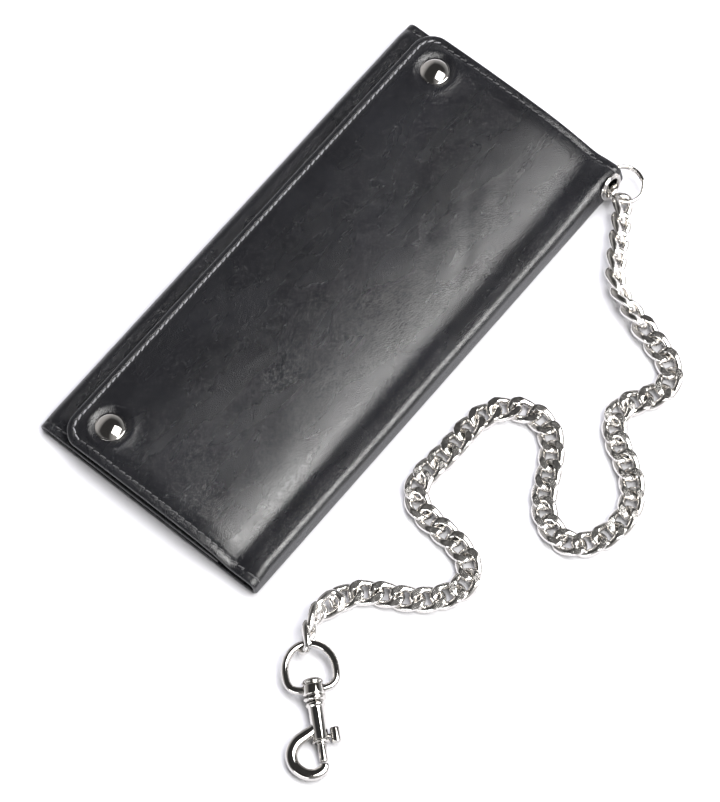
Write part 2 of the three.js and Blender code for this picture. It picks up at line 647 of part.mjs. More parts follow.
// The bolt's spring, as short as the open bolt presses it.
class SpringCurve extends THREE.Curve {
  getPoint(t, target = new THREE.Vector3()) {
    const angle = t * Math.PI * 4;
    return target.set(8.6 + t * 0.75, 1.1 * Math.cos(angle), 1.1 * Math.sin(angle));
  }
}

function addSpring() {
  add(snapHook, 'bolt_spring', bar(new SpringCurve(), 0.14, 24, 6), nickel());
}

// ---------------------------------------------------------------- the whole wallet

addOuterCover();
addFoldStrip();
addFlap();
addCardPockets();
addBillDivider();
addCoinPocket();
addSlider(addZip());
addSnap(-1, 1);
addSnap(1, 2);
addEyelet();
addSplitRing();
addChain();
addDRing();
addSwivelCollar();
addHookBody();
addBolt();
addSpring();

export default wallet;
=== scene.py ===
import json
import math

import bmesh
import bpy
import numpy as np
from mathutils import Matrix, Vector


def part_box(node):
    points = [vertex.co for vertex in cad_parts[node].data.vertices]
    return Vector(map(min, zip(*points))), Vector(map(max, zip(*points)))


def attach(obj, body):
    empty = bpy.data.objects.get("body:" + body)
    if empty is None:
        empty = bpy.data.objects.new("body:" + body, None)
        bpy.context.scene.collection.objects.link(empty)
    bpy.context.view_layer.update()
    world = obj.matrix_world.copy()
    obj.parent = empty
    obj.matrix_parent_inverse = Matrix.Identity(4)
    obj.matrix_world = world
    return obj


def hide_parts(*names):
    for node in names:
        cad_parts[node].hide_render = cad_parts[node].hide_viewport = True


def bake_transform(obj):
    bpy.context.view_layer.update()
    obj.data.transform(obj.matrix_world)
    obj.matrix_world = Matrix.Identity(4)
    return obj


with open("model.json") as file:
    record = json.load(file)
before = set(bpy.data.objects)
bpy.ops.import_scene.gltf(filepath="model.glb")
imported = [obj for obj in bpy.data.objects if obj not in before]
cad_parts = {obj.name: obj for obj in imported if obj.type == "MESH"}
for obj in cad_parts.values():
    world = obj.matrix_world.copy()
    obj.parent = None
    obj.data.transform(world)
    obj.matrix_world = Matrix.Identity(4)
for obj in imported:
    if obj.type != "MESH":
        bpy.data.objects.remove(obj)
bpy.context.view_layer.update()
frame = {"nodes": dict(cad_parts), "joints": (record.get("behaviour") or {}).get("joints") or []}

mm = 0.001
tau = 2 * math.pi


# ---- camera: a long lens, high over the wallet's lower corner

cameraSetup = {
    "azimuth": 39.31,
    "elevation": 66.9,
    "distance": 1.4,
    "lens": 215.5,
    "aim": (0.02805, -0.02163, 0.0),
}


def addCamera(setup):
    # azimuth and elevation are the direction, in degrees, from the aim back to the camera
    turn, rise = math.radians(setup["azimuth"]), math.radians(setup["elevation"])
    back = Vector((math.sin(turn) * math.cos(rise), -math.cos(turn) * math.cos(rise), math.sin(rise)))
    data = bpy.data.cameras.new("camera")
    data.lens = setup["lens"]
    data.sensor_width = 36.0
    data.sensor_fit = "HORIZONTAL"
    data.clip_end = 20.0
    camera = bpy.data.objects.new("camera", data)
    camera.location = Vector(setup["aim"]) + back * setup["distance"]
    camera.rotation_euler = (-back).to_track_quat("-Z", "Y").to_euler()
    bpy.context.scene.collection.objects.link(camera)
    bpy.context.scene.camera = camera


# ---- small tools for grids and meshes

def unit(v):
    # each vector made one long
    return v / np.maximum(np.linalg.norm(v, axis=-1, keepdims=True), 1e-12)


def smooth(t):
    # the S-curve 3t^2 - 2t^3, held at 0 and 1 outside
    t = np.clip(t, 0.0, 1.0)
    return t * t * (3 - 2 * t)


def power(value, exponent):
    # a power that keeps the sign of what is raised
    return np.sign(value) * np.abs(value) ** exponent


def lengths(path):
    # how far along a path each of its points lies
    return np.concatenate([[0], np.cumsum(np.linalg.norm(np.diff(path, axis=0), axis=1))])


def pointsAt(path, length, places):
    return np.stack([np.interp(places, length, path[:, k]) for k in range(3)], -1)


def resample(path, count, closed=False):
    # evenly spaced points along a path
    if closed:
        path = np.concatenate([path, path[:1]])
    length = lengths(path)
    return pointsAt(path, length, np.linspace(0, length[-1], count, endpoint=not closed))


def gridFaces(rows, cols, closedRows=False, closedCols=False, start=0):
    # quads between neighbouring points of a rows x cols grid that is stored row by row
    i = np.arange(rows if closedRows else rows - 1)[:, None]
    j = np.arange(cols if closedCols else cols - 1)[None, :]
    a = i * cols + j
    b = ((i + 1) % rows) * cols + j
    c = ((i + 1) % rows) * cols + (j + 1) % cols
    d = i * cols + (j + 1) % cols
    return np.stack([a, b, c, d], axis=-1).reshape(-1, 4) + start


def repeatFaces(faces, count, size):
    # the faces of count copies of one shape of size points
    return (faces[None] + (np.arange(count) * size)[:, None, None]).reshape(-1, 4)


def makePiece(name, points, faces, material, sharpAngle=None, weld=2e-7):
    # a smooth-shaded object in metres; edges sharper than sharpAngle degrees stay sharp
    mesh = bpy.data.meshes.new(name)
    mesh.from_pydata(points.reshape(-1, 3).tolist(), [], faces.tolist())
    work = bmesh.new()
    work.from_mesh(mesh)
    bmesh.ops.remove_doubles(work, verts=work.verts, dist=weld)
    bmesh.ops.dissolve_degenerate(work, edges=work.edges, dist=weld)
    bmesh.ops.recalc_face_normals(work, faces=work.faces)
    work.to_mesh(mesh)
    work.free()
    mesh.shade_smooth()
    if sharpAngle is not None:
        mesh.set_sharp_from_angle(angle=math.radians(sharpAngle))
    mesh.materials.append(material)
    piece = bpy.data.objects.new(name, mesh)
    bpy.context.scene.collection.objects.link(piece)
    return piece


def joinGrids(parts):
    # several (points, faces) parts as one list of points and faces
    points, faces, count = [], [], 0
    for p, f in parts:
        p = p.reshape(-1, 3)
        points.append(p)
        faces.append(f + count)
        count += len(p)
    return np.concatenate(points), np.concatenate(faces)


def tubeGrid(path, radius, side, up, sides=16, closed=False):
    # rings round each path point: path + radius * (cos a * side + sin a * up)
    n = len(path)
    a = np.arange(sides) * tau / sides
    r = np.broadcast_to(np.asarray(radius, float).reshape(-1, 1, 1), (n, 1, 1))
    ring = np.cos(a)[None, :, None] * side[:, None, :] + np.sin(a)[None, :, None] * up[:, None, :]
    return path[:, None, :] + r * ring, gridFaces(n, sides, closed, True)


def planeFrames(path, axis, closed=False):
    # for a path that turns about one axis: across the path in its plane, and the axis made square to it
    if closed:
        along = unit(np.roll(path, -1, 0) - np.roll(path, 1, 0))
    else:
        along = unit(np.gradient(path, axis=0))
    side = unit(np.cross(np.broadcast_to(axis, along.shape), along))
    return side, unit(np.cross(along, side))


def turnedGrid(profile, sides=48):
    # a profile of (radius, height) points turned about Z
    profile = np.asarray(profile, float)
    a = np.arange(sides) * tau / sides
    x = profile[:, 0][:, None] * np.cos(a)
    y = profile[:, 0][:, None] * np.sin(a)
    z = np.broadcast_to(profile[:, 1][:, None], x.shape)
    return np.stack([x, y, z], -1), gridFaces(len(profile), sides, False, True)


def rod(radius, low, high):
    # the profile of a plain round rod
    return [(0, low), (radius, low), (radius, high), (0, high)]


def roundedProfile(corners, steps=6):
    # (radius, height, fillet) corners joined by straight lines, each cut by a small quadratic curve
    corners = [np.array(c, float) for c in corners]
    out = []
    for n, c in enumerate(corners):
        if c[2] <= 0 or n in (0, len(corners) - 1):
            out.append(c[:2][None, :])
            continue
        before = unit(corners[n - 1][:2] - c[:2])
        after = unit(corners[n + 1][:2] - c[:2])
        t = np.linspace(0, 1, steps + 1)[:, None]
        p = c[:2] + before * c[2]
        q = c[:2] + after * c[2]
        out.append((1 - t) ** 2 * p + 2 * t * (1 - t) * c[:2] + t ** 2 * q)
    return np.concatenate(out)


def spread(start, end, step, fine=None):
    # evenly spaced stations, with extra ones near each value in fine: (place, reach, step)
    stations = [np.linspace(start, end, max(2, int(round(abs(end - start) / step)) + 1))]
    for place, reach, small in fine or []:
        lo, hi = max(min(start, end), place - reach), min(max(start, end), place + reach)
        if hi > lo:
            stations.append(np.linspace(lo, hi, max(2, int(round((hi - lo) / small)) + 1)))
    merged = np.unique(np.round(np.concatenate(stations), 5))
    keep = np.concatenate([[True], np.diff(merged) > 0.02])
    merged = merged[keep]
    merged[0], merged[-1] = min(start, end), max(start, end)
    return merged if end > start else merged[::-1]


def edgeStations(reach=0.75, steps=5):
    # distances from a cut edge at which its half-round is drawn
    return reach * (1 - np.cos(np.linspace(0, math.pi / 2, steps + 1)))


# ---- materials

def nodesOf(name):
    # a new material, its nodes, its shader and the place on the object in metres
    material = bpy.data.materials.new(name)
    material.use_nodes = True
    tree = material.node_tree
    place = addNode(tree, "ShaderNodeTexCoord").outputs["Object"]
    return material, tree, tree.nodes["Principled BSDF"], place


def setInputs(node, values):
    for key, value in values.items():
        node.inputs[key].default_value = value
    return node


def addNode(tree, kind, inputs=None, **settings):
    node = tree.nodes.new(kind)
    for key, value in settings.items():
        setattr(node, key, value)
    return setInputs(node, inputs or {})


def addNoise(tree, place, scale, detail, more=None):
    node = addNode(tree, "ShaderNodeTexNoise", {"Scale": scale, "Detail": detail, **(more or {})})
    tree.links.new(place, node.inputs["Vector"])
    return node.outputs


def addBump(tree, height, depth, below=None):
    # relief of this depth in metres, on top of the relief below
    node = addNode(tree, "ShaderNodeBump", {"Strength": 1.0, "Distance": depth})
    tree.links.new(height, node.inputs["Height"])
    if below is not None:
        tree.links.new(below, node.inputs["Normal"])
    return node.outputs[0]


def ramp(tree, source, stops):
    # colours by value: (value, colour) stops with straight changes between them
    node = tree.nodes.new("ShaderNodeValToRGB")
    for n, (place, colour) in enumerate(stops):
        element = node.color_ramp.elements[n] if n < 2 else node.color_ramp.elements.new(place)
        element.position = place
        element.color = (*colour, 1.0)
    tree.links.new(source, node.inputs[0])
    return node.outputs[0]


def mapRange(tree, source, low, high, toLow, toHigh):
    node = addNode(tree, "ShaderNodeMapRange", {1: low, 2: high, 3: toLow, 4: toHigh})
    tree.links.new(source, node.inputs[0])
    return node.outputs[0]


leatherLook = {
    "dark": (0.0030, 0.0031, 0.0040),
    "light": (0.0058, 0.0060, 0.0074),
    "roughness": (0.25, 0.29),
    "gloss": 0.66,
    "cell": 0.55 * mm,          # size of one grain cell
    "stir": 0.5 * mm,           # how far noise pulls the cells about
    "stirScale": 700.0,
    "grainDepth": 0.042 * mm,
    "poreScale": 2700.0,
    "poreDepth": 0.034 * mm,
    "stretchTurn": 24.0,        # degrees that the stretch lines lie across the leather
    "stretchLong": 0.32,        # the lower, the longer they are
    "stretchScale": 120.0,
    "wrinkleDepth": 0.035 * mm,
    "cloudScale": 45.0,         # of the slow changes of colour
}


def leatherMaterial(name, look):
    material, tree, shader, place = nodesOf(name)
    link = tree.links.new
    # the grain: cells with soft valleys between them, pulled about by a little noise
    stir = addNoise(tree, place, look["stirScale"], 2.0)
    pull = addNode(tree, "ShaderNodeVectorMath", {1: (look["stir"],) * 3}, operation="MULTIPLY_ADD")
    link(stir["Color"], pull.inputs[0])
    link(place, pull.inputs[2])
    cells = addNode(tree, "ShaderNodeTexVoronoi", {"Scale": 1.0 / look["cell"]},
                    feature="DISTANCE_TO_EDGE")
    link(pull.outputs[0], cells.inputs["Vector"])
    grain = mapRange(tree, cells.outputs["Distance"], 0.0, 0.32, 0.0, 1.0)
    pores = addNoise(tree, place, look["poreScale"], 2.0, {"Roughness": 0.6})["Fac"]
    # long faint stretch lines
    stretch = addNode(tree, "ShaderNodeMapping", {
        "Rotation": (0.0, 0.0, math.radians(look["stretchTurn"])),
        "Scale": (1.0, look["stretchLong"], 1.0),
    })
    link(place, stretch.inputs["Vector"])
    folds = addNoise(tree, stretch.outputs[0], look["stretchScale"], 5.0,
                     {"Roughness": 0.55, "Distortion": 0.4})["Fac"]
    clouds = addNoise(tree, place, look["cloudScale"], 4.0)["Fac"]

    link(ramp(tree, clouds, [(0.35, look["dark"]), (0.7, look["light"])]), shader.inputs["Base Color"])
    link(mapRange(tree, folds, 0.35, 0.65, *look["roughness"]), shader.inputs["Roughness"])
    setInputs(shader, {"Specular IOR Level": look["gloss"], "Sheen Weight": 0.04, "Sheen Roughness": 0.4})
    relief = addBump(tree, folds, look["wrinkleDepth"])
    relief = addBump(tree, grain, look["grainDepth"], relief)
    link(addBump(tree, pores, look["poreDepth"], relief), shader.inputs["Normal"])
    return material


nickelLook = {"colour": (0.62, 0.605, 0.585), "roughness": (0.05, 0.11), "scratchDepth": 0.004 * mm}


def metalMaterial(name, look, scale=900.0):
    # one fine noise makes the haze, the tint and the scratches
    material, tree, shader, place = nodesOf(name)
    link = tree.links.new
    haze = addNoise(tree, place, scale, 3.0)["Fac"]
    link(mapRange(tree, haze, 0.3, 0.7, *look["roughness"]), shader.inputs["Roughness"])
    r, g, b = look["colour"]
    duller = (r * 0.94, g * 0.93, b * 0.92)
    link(ramp(tree, haze, [(0.3, duller), (0.7, (r, g, b))]), shader.inputs["Base Color"])
    setInputs(shader, {"Metallic": 1.0})
    link(addBump(tree, haze, look["scratchDepth"]), shader.inputs["Normal"])
    return material


def threadMaterial(name, dark, light):
    # fibres: one noise raises them, and paints shade between them and light on their tops
    material, tree, shader, place = nodesOf(name)
    link = tree.links.new
    plyReliefAndShade = addNoise(tree, place, 1900.0, 2.0)["Fac"]
    # painted shade between the fibres and painted light on their tops, from the same noise as the relief
    link(ramp(tree, plyReliefAndShade, [(0.3, dark), (0.7, light)]), shader.inputs["Base Color"])
    setInputs(shader, {"Roughness": 0.55, "Sheen Weight": 0.3})
    link(addBump(tree, plyReliefAndShade, 0.05 * mm), shader.inputs["Normal"])
    return material


def clothMaterial(name, colour, scale=115.0):
    # a plain weave: two crossed waves, the higher one on top, with painted shade in the weave's low
    # places
    material, tree, shader, place = nodesOf(name)
    link = tree.links.new
    weave = addNode(tree, "ShaderNodeMath", operation="MAXIMUM")
    for n, direction in enumerate("XY"):
        wave = addNode(tree, "ShaderNodeTexWave", {"Scale": scale, "Distortion": 0.6, "Detail": 1.0},
                       wave_type="BANDS", bands_direction=direction)
        link(place, wave.inputs["Vector"])
        link(wave.outputs["Fac"], weave.inputs[n])
    height = weave.outputs[0]
    # painted shade: the low places of the weave are coloured darker than its tops
    hollowShade = tuple(c * 0.45 for c in colour)
    link(ramp(tree, height, [(0.3, hollowShade), (0.95, colour)]), shader.inputs["Base Color"])
    setInputs(shader, {"Roughness": 0.85, "Sheen Weight": 0.25})
    link(addBump(tree, height, 0.08 * mm), shader.inputs["Normal"])
    return material


leather = leatherMaterial("smooth black leather", leatherLook)
pocketLook = dict(leatherLook, cell=0.8 * mm, roughness=(0.48, 0.6), wrinkleDepth=0.08 * mm)
pocketLeather = leatherMaterial("thin pocket leather", pocketLook)
nickel = metalMaterial("polished nickel", nickelLook)
chainLook = {"colour": (0.70, 0.685, 0.665), "roughness": (0.17, 0.25), "scratchDepth": 0.006 * mm}
chainNickel = metalMaterial("tumbled nickel of the chain", chainLook)
zipLook = {"colour": (0.62, 0.60, 0.57), "roughness": (0.2, 0.34), "scratchDepth": 0.01 * mm}
zipMetal = metalMaterial("satin zip metal", zipLook)
# the free edge's stitches are coloured lighter than the end rows of the same seam, which they meet at the
# corners
lightThread = threadMaterial("lighter thread on the free edge", (0.05, 0.05, 0.055), (0.20, 0.20, 0.21))
darkThread = threadMaterial("black sewing thread", (0.008, 0.008, 0.009), (0.055, 0.055, 0.058))
cloth = clothMaterial("black lining cloth", (0.02, 0.02, 0.023))
print("materials ready")


# ---- the chain, as one cord of curb links

chain = {
    "wire": 1.30 * mm,          # radius
    "halfLength": 4.72 * mm,    # along the link, to the wire's middle
    "halfWidth": 3.10 * mm,
    "twist": -1.25 * mm,        # how far each link's shoulders rise and dip
    "filed": 1.88 * mm,         # height of the flats filed on both faces
    "pitch": 6.62 * mm,
    "onEdgeStart": 5.2,         # links that stand on edge before the chain rolls flat
    "onEdgeEnd": 0.6,
    "rollOver": 2.6,            # links that it takes to roll
    "rollStart": -52.0,         # degrees
    "rollEnd": -84.0,
    "lean": 3.5,                # degrees
    "unevenLean": 2.0,
    "leanStep": 2.1,            # radians of unevenness from one link to the next
    "levelLink": 32,            # middle of the stretch that leans the other way
    "levelReach": 3.2,          # its half length in links
    "levelTurn": 2.4,           # how far it leans back, as a part of the lean
    "clearance": 0.03 * mm,     # between the links and the table
    "along": 48,
    "around": 18,
    "samples": 400,             # points of the cord's line
    "trim": 6,                  # of them left off at each end
}
# the chain's way over the table in millimetres, and the height of its middle:
# it stands high on its edge at both ends and lies low in between
route = [
    [52.6, 85.1], [55.95, 80.15], [59.2, 74.8], [62.8, 69.0], [67.0, 63.6], [72.0, 60.4],
    [78.0, 58.2], [84.5, 56.1], [91.0, 54.2], [97.0, 52.0], [101.2, 48.6], [102.3, 43.0],
    [99.9, 37.0], [96.6, 31.4], [96.4, 25.7], [100.4, 20.4], [106.0, 16.7], [111.6, 13.2],
    [116.2, 9.0], [119.2, 3.8], [120.2, -2.2], [119.2, -8.4], [117.0, -13.6], [113.4, -17.4],
    [108.2, -18.6], [102.2, -17.0], [97.4, -13.2], [93.9, -7.9], [91.0, -2.2], [87.6, 3.4],
    [83.3, 7.7], [77.9, 9.6], [72.0, 8.6], [66.8, 5.2], [63.4, 0.0], [62.1, -6.3],
    [62.0, -12.8], [61.8, -19.2], [61.3, -25.3], [61.2, -31.3], [63.4, -36.3], [67.8, -39.2],
    [73.0, -40.2], [78.8, -40.7], [84.4, -41.4], [89.4, -43.0], [93.3, -46.4], [94.5, -51.6],
    [92.2, -57.6], [88.0, -62.6], [82.8, -66.3], [77.2, -69.2], [72.2, -72.4], [68.6, -76.6],
    [66.6, -81.6], [65.7, -86.4], [65.45, -91.0], [67.9, -96.5],
]
stand, lie = 3.8, 1.78
heights = [stand] * 4 + [3.4, 2.8] + [lie] * (len(route) - 10) + [2.8, 3.4] + [stand] * 2


def smoothPath(points, perSpan=16):
    # a Catmull-Rom curve through the points
    p = np.asarray(points, float)
    p = np.concatenate([[2 * p[0] - p[1]], p, [2 * p[-1] - p[-2]]])
    t = np.linspace(0, 1, perSpan, endpoint=False)[None, :, None]
    a, b, c, d = p[:-3, None], p[1:-2, None], p[2:-1, None], p[3:, None]
    curve = 0.5 * (2 * b + (c - a) * t + (2 * a - 5 * b + 4 * c - d) * t ** 2
                   + (3 * b - a - 3 * c + d) * t ** 3)
    return np.concatenate([curve.reshape(-1, 3), p[-2:-1]])


def walk(path, places):
    # points, and the directions of travel, at the given lengths along a path
    length = lengths(path)
    ahead, behind = (pointsAt(path, length, places + step) for step in (2 * mm, -2 * mm))
    return pointsAt(path, length, places), unit(ahead - behind), length[-1]


def linkShape(c):
    # one curb link: an oval of round wire whose height is twist * sin(2t), with both faces filed flat
    t = np.arange(c["along"]) * tau / c["along"]
    s, k = np.sin(t), np.cos(t)
    x = c["halfLength"] * power(k, 0.88)
    y = c["halfWidth"] * power(s, 0.94)
    z = c["twist"] * np.sin(2 * t)
    path = np.stack([x, y, z], -1)
    side, up = planeFrames(path, np.array([0, 0, 1.0]), True)
    points, faces = tubeGrid(path, c["wire"], side, up, c["around"], True)
    points[..., 2] = np.clip(points[..., 2], -c["filed"], c["filed"])
    return points.reshape(-1, 3), faces


def placeLinks(shape, centres, headings, roll):
    # each link turned to its heading and rolled about it, all links at once
    points, faces = shape
    level = unit(np.cross(np.array([0, 0, 1.0]), headings))
    top = unit(np.cross(headings, level))
    left = np.cos(roll)[:, None] * level + np.sin(roll)[:, None] * top
    high = np.cos(roll)[:, None] * top - np.sin(roll)[:, None] * level
    placed = (centres[:, None, :] + points[None, :, 0:1] * headings[:, None, :]
              + points[None, :, 1:2] * left[:, None, :] + points[None, :, 2:3] * high[:, None, :])
    return placed.reshape(-1, 3), repeatFaces(faces, len(centres), len(points))


def addChain(c):
    # links at even steps along the route; both end stretches are rolled onto their edge
    path = smoothPath(np.column_stack([route, heights]) * mm)
    total = walk(path, np.array([0.0]))[2]
    count = int(round(total / c["pitch"])) + 1
    places = np.linspace(0, total, count)
    centres, headings, total = walk(path, places)
    number = np.arange(count)
    edge = np.maximum(1 - smooth((number - c["onEdgeStart"]) / c["rollOver"]),
                      smooth((number - (count - 1 - c["onEdgeEnd"] - c["rollOver"])) / c["rollOver"]))
    # flat links lean a little towards the light, but for one stretch that leans back
    lean = np.radians(c["lean"] + c["unevenLean"] * np.sin(number * c["leanStep"]))
    back = np.exp(-((number - c["levelLink"]) / c["levelReach"]) ** 2)
    lean = lean * (1 - c["levelTurn"] * back)
    sway = lean * headings[:, 1] + 0.05 * np.sin(number * 0.63 + 1.0)
    full = np.where(number < count / 2, c["rollStart"], c["rollEnd"])
    roll = edge * np.radians(full) + (1 - edge) * sway
    shape = linkShape(c)
    # each link is let down until its lowest point touches the table
    depth = shape[0][:, 1] * np.sin(roll)[:, None] + shape[0][:, 2] * np.cos(roll)[:, None]
    centres[:, 2] = c["clearance"] - depth.min(axis=1)
    headings = unit(headings * np.array([1, 1, 0]))
    names = {"first_link": [0], "curb_chain": range(1, count - 1), "last_link": [count - 1]}
    made = {}
    for name, which in names.items():
        which = list(which)
        points, faces = placeLinks(shape, centres[which], headings[which], roll[which])
        made[name] = makePiece(name, points, faces, chainNickel, sharpAngle=27)
        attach(made[name], "wallet")
    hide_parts("chain_first_link")
    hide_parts("chain")
    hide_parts("chain_last_link")
    samples = np.linspace(0, total, c["samples"])
    line = walk(path, samples)[0]
    line[:, 2] = np.interp(samples, places, centres[:, 2])
    return made, line[c["trim"]:-c["trim"]], count


addCamera(cameraSetup)
chainPieces, chainLine, linkCount = addChain(chain)
print("chain of", linkCount, "links")


# ---- the leather: three pieces of one cover, cut where they bend
# all shapes from here on are worked out in millimetres and made in metres

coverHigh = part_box("outer_cover")[1]
flapLow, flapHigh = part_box("flap_cover")
spineX = coverHigh.x / mm
halfLength = coverHigh.y / mm
thick = (flapHigh.z - flapLow.z) / mm
freeEdge = flapLow.x / mm

cover = {
    "bend": 2.75,           # outer radius of the spine's two bends
    "lean": 15.0,           # degrees that the spine wall leans in
    "spineTop": 8.7,        # height of the top bend, away from the eyelet
    "topBend": 42.0,        # where the top bend starts
    "eyeletLift": 1.75,     # how far the eyelet holds the leather up
    "eyeletReach": 15.0,
    "corner": 7.5,          # radius of the flap's free corners
    "seam": 40.6,           # where the spine piece meets the flap piece
    "underSeam": 39.0,      # where the spine piece meets the back
    "mouth": 29.5,          # edge of the front panel, where the body opens
    "bodyHigh": 6.0,
    "bodyFold": 3.0,        # how far the fold reaches in
    "windowX": (26.8, 21.2),    # the opening of the coin pocket in the front panel
    "windowY": 78.0,
    "pinch": 0.19,          # how much the sewn ends press the body flat
    "endDroop": 1.25,       # how far the flap's sewn ends hang down
    "gather": 0.75,         # height of the step beside the lower spine
    "stitchIn": 2.7,
    "stitchPitch": 2.75,
    "groove": 0.26,
    "snapX": -25.4,
    "snapY": 83.0,
    "snapSeat": 10.62,      # height of the leather under a cap
    # slope of the flap's top across the wallet, from its free edge to the spine
    "slopes": [(-38, 0.30), (-35.5, 0.17), (-32, 0.08), (-26, 0.055), (-12, 0.015), (2, 0.0),
               (12, -0.045), (21, -0.135), (28, -0.225), (31.5, -0.26), (34, -0.12), (35.9, 0.07),
               (37.6, 0.10), (39.6, 0.03), (42, 0.0)],
}

slopeX, slopeValue = np.array(cover["slopes"], float).T
tableX = np.linspace(slopeX[0] - 2, slopeX[-1] + 2, 1200)
tableSlope = np.interp(tableX, slopeX, slopeValue)
window = np.hanning(41)
tableSlope = np.convolve(np.pad(tableSlope, 20, mode="edge"), window / window.sum(), mode="valid")
tableRise = np.cumsum(tableSlope) * (tableX[1] - tableX[0])
tableHeight = cover["spineTop"] + tableRise - np.interp(cover["topBend"], tableX, tableRise)


def ripple(x, y, seed, size, count=14):
    # gentle unevenness: a sum of sine waves of random direction, each about size long
    rng = np.random.default_rng(seed)
    total = np.zeros(np.broadcast(x, y).shape)
    for n in range(count):
        angle, phase = rng.uniform(0, tau, 2)
        length = size * rng.uniform(0.6, 1.6)
        total = total + np.sin((x * math.cos(angle) + y * math.sin(angle)) * tau / length + phase)
    return total / math.sqrt(count)


def crease(x, y, x0, y0, x1, y1, depth, width):
    # one soft wrinkle: a valley along a line, faded out towards its ends
    along = np.array([x1 - x0, y1 - y0])
    reach = np.hypot(*along)
    along = along / reach
    t = ((x - x0) * along[0] + (y - y0) * along[1]) / reach
    away = (x - x0) * along[1] - (y - y0) * along[0]
    away = away + 0.9 * np.sin(t * 7.0 + x0)
    fade = smooth(t / 0.3) * smooth((1 - t) / 0.3)
    return -depth * fade * np.exp(-(away / width) ** 2)


def edgeDistance(x, y):
    # distance in from the flap's outline: its free edge, round corners and two ends
    r = cover["corner"]
    cx, cy = freeEdge + r, halfLength - r
    straight = np.minimum(x - freeEdge, halfLength - np.abs(y))
    inCorner = (x < cx) & (np.abs(y) > cy)
    return np.where(inCorner, r - np.hypot(x - cx, np.abs(y) - cy), straight)


wrinkles = [
    # from x, y to x, y, depth, width: faint folds that fan out beside the spine
    (8, 62, 31, 28, 0.16, 2.6), (14, 70, 34, 44, 0.13, 2.2), (2, 50, 27, 12, 0.12, 3.0),
    (18, 46, 33, 24, 0.16, 1.5), (20, 40, 34, 20, 0.12, 1.2), (10, 20, 30, -12, 0.08, 3.5),
    (-10, 60, 8, 20, 0.07, 4.0), (16, -30, 33, -62, 0.08, 3.2), (-22, 30, -6, -12, 0.05, 5.0),
]


def flapTop(x, y):
    # height of the flap's outer face
    x, y = np.broadcast_arrays(np.asarray(x, float), np.asarray(y, float))
    z = np.interp(x, tableX, tableHeight)
    nearEyelet = np.exp(-((y - 88.3) / cover["eyeletReach"]) ** 2)
    z = z + cover["eyeletLift"] * nearEyelet * np.exp(-(np.maximum(cover["topBend"] - x, 0) / 8.0) ** 2)
    # the slope beside the spine gathers into a narrower step towards the lower end
    z = z + cover["gather"] * smooth((-15 - y) / 60) * (smooth((x - 11) / 17) - smooth((x - 29) / 6))
    z = z - cover["endDroop"] * np.where(y < 0, 1.35, 1.0) * smooth((np.abs(y) - 85.5) / 9.5) ** 1.3
    middle = smooth((halfLength - np.abs(y)) / 14) * smooth((x - freeEdge) / 8)
    z = z + 0.075 * middle * ripple(x, y, 3, 34) + 0.022 * middle * ripple(x, y, 8, 11)
    for w in wrinkles:
        z = z + crease(x, y, *w)
    for end in (-1, 1):
        away = np.hypot(x - cover["snapX"], y - end * cover["snapY"])
        swell = 0.34 * np.exp(-((away - 7.3) / 1.7) ** 2)
        z = cover["snapSeat"] + (z + swell - cover["snapSeat"]) * smooth((away - 4.7) / 2.6)
    return z


def stitchGroove(distance, along):
    # the row of stitches pulls the leather down, deeper where the needle went in
    deep = 1 + 0.45 * np.cos(along * tau / cover["stitchPitch"])
    dip = np.exp(-((distance - cover["stitchIn"]) / 0.6) ** 2)
    swell = np.exp(-((distance - cover["stitchIn"] + 1.25) / 0.6) ** 2)
    return -cover["groove"] * deep * dip + 0.07 * swell


def halfRound(distance, half):
    # thickness to each side of the middle of the leather, drawn in to a half circle at a cut edge
    return half * np.sqrt(np.clip(1 - (1 - np.clip(distance / half, 0, 1)) ** 2, 0, 1))


def shellGrid(outer, half, relief, hole=None):
    # outer is the grid of the outer face. The middle of the leather lies half a thickness under it.
    # Both faces are the middle plus and minus the local half thickness along the normal.
    # hole is the first and last row and column of a square opening through both faces.
    normal = -unit(np.cross(np.gradient(outer, axis=0), np.gradient(outer, axis=1)))
    middle = outer - normal * (thick / 2)
    fade = np.clip(half / (thick / 2), 0, 1)
    upper = middle + normal * (half + relief * fade)[..., None]
    lower = middle - normal * half[..., None]
    rows, cols = half.shape
    points = np.concatenate([upper, lower[::-1]])
    faces = gridFaces(2 * rows, cols, True, False)
    if hole is not None:
        top, bottom, left, right = hole
        i = np.repeat(np.arange(2 * rows), cols - 1)
        j = np.tile(np.arange(cols - 1), 2 * rows)
        same = np.where(i < rows, i, 2 * rows - 2 - i)
        cut = (same >= top) & (same < bottom) & (j >= left) & (j < right)
        cut = cut & (i != rows - 1) & (i != 2 * rows - 1)
        up = np.arange(rows)[:, None] * cols + np.arange(cols)[None, :]
        down = (2 * rows - 1 - np.arange(rows))[:, None] * cols + np.arange(cols)[None, :]
        walls = []
        for j in (left, right):
            a = np.arange(top, bottom)
            walls.append(np.stack([up[a, j], up[a + 1, j], down[a + 1, j], down[a, j]], -1))
        for i in (top, bottom):
            b = np.arange(left, right)
            walls.append(np.stack([up[i, b], up[i, b + 1], down[i, b + 1], down[i, b]], -1))
        faces = np.concatenate([faces[~cut], *walls])
    return points, faces


def lengthStations(step):
    # places along the wallet, closer together at both sewn ends
    ends = [(side * halfLength, 6.5, 0.34) for side in (-1, 1)]
    y = spread(-halfLength, halfLength, step, ends)
    rim = edgeStations()
    y = y[np.abs(y) < halfLength - rim[-1]]
    return np.concatenate([-halfLength + rim, y, (halfLength - rim)[::-1]])


def finishLeather(piece, node):
    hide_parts(node)
    return piece


def bendWithFlap(piece):
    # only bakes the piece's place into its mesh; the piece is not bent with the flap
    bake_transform(piece)


def bendWithFold(piece):
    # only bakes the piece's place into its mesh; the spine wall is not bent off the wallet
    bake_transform(piece)


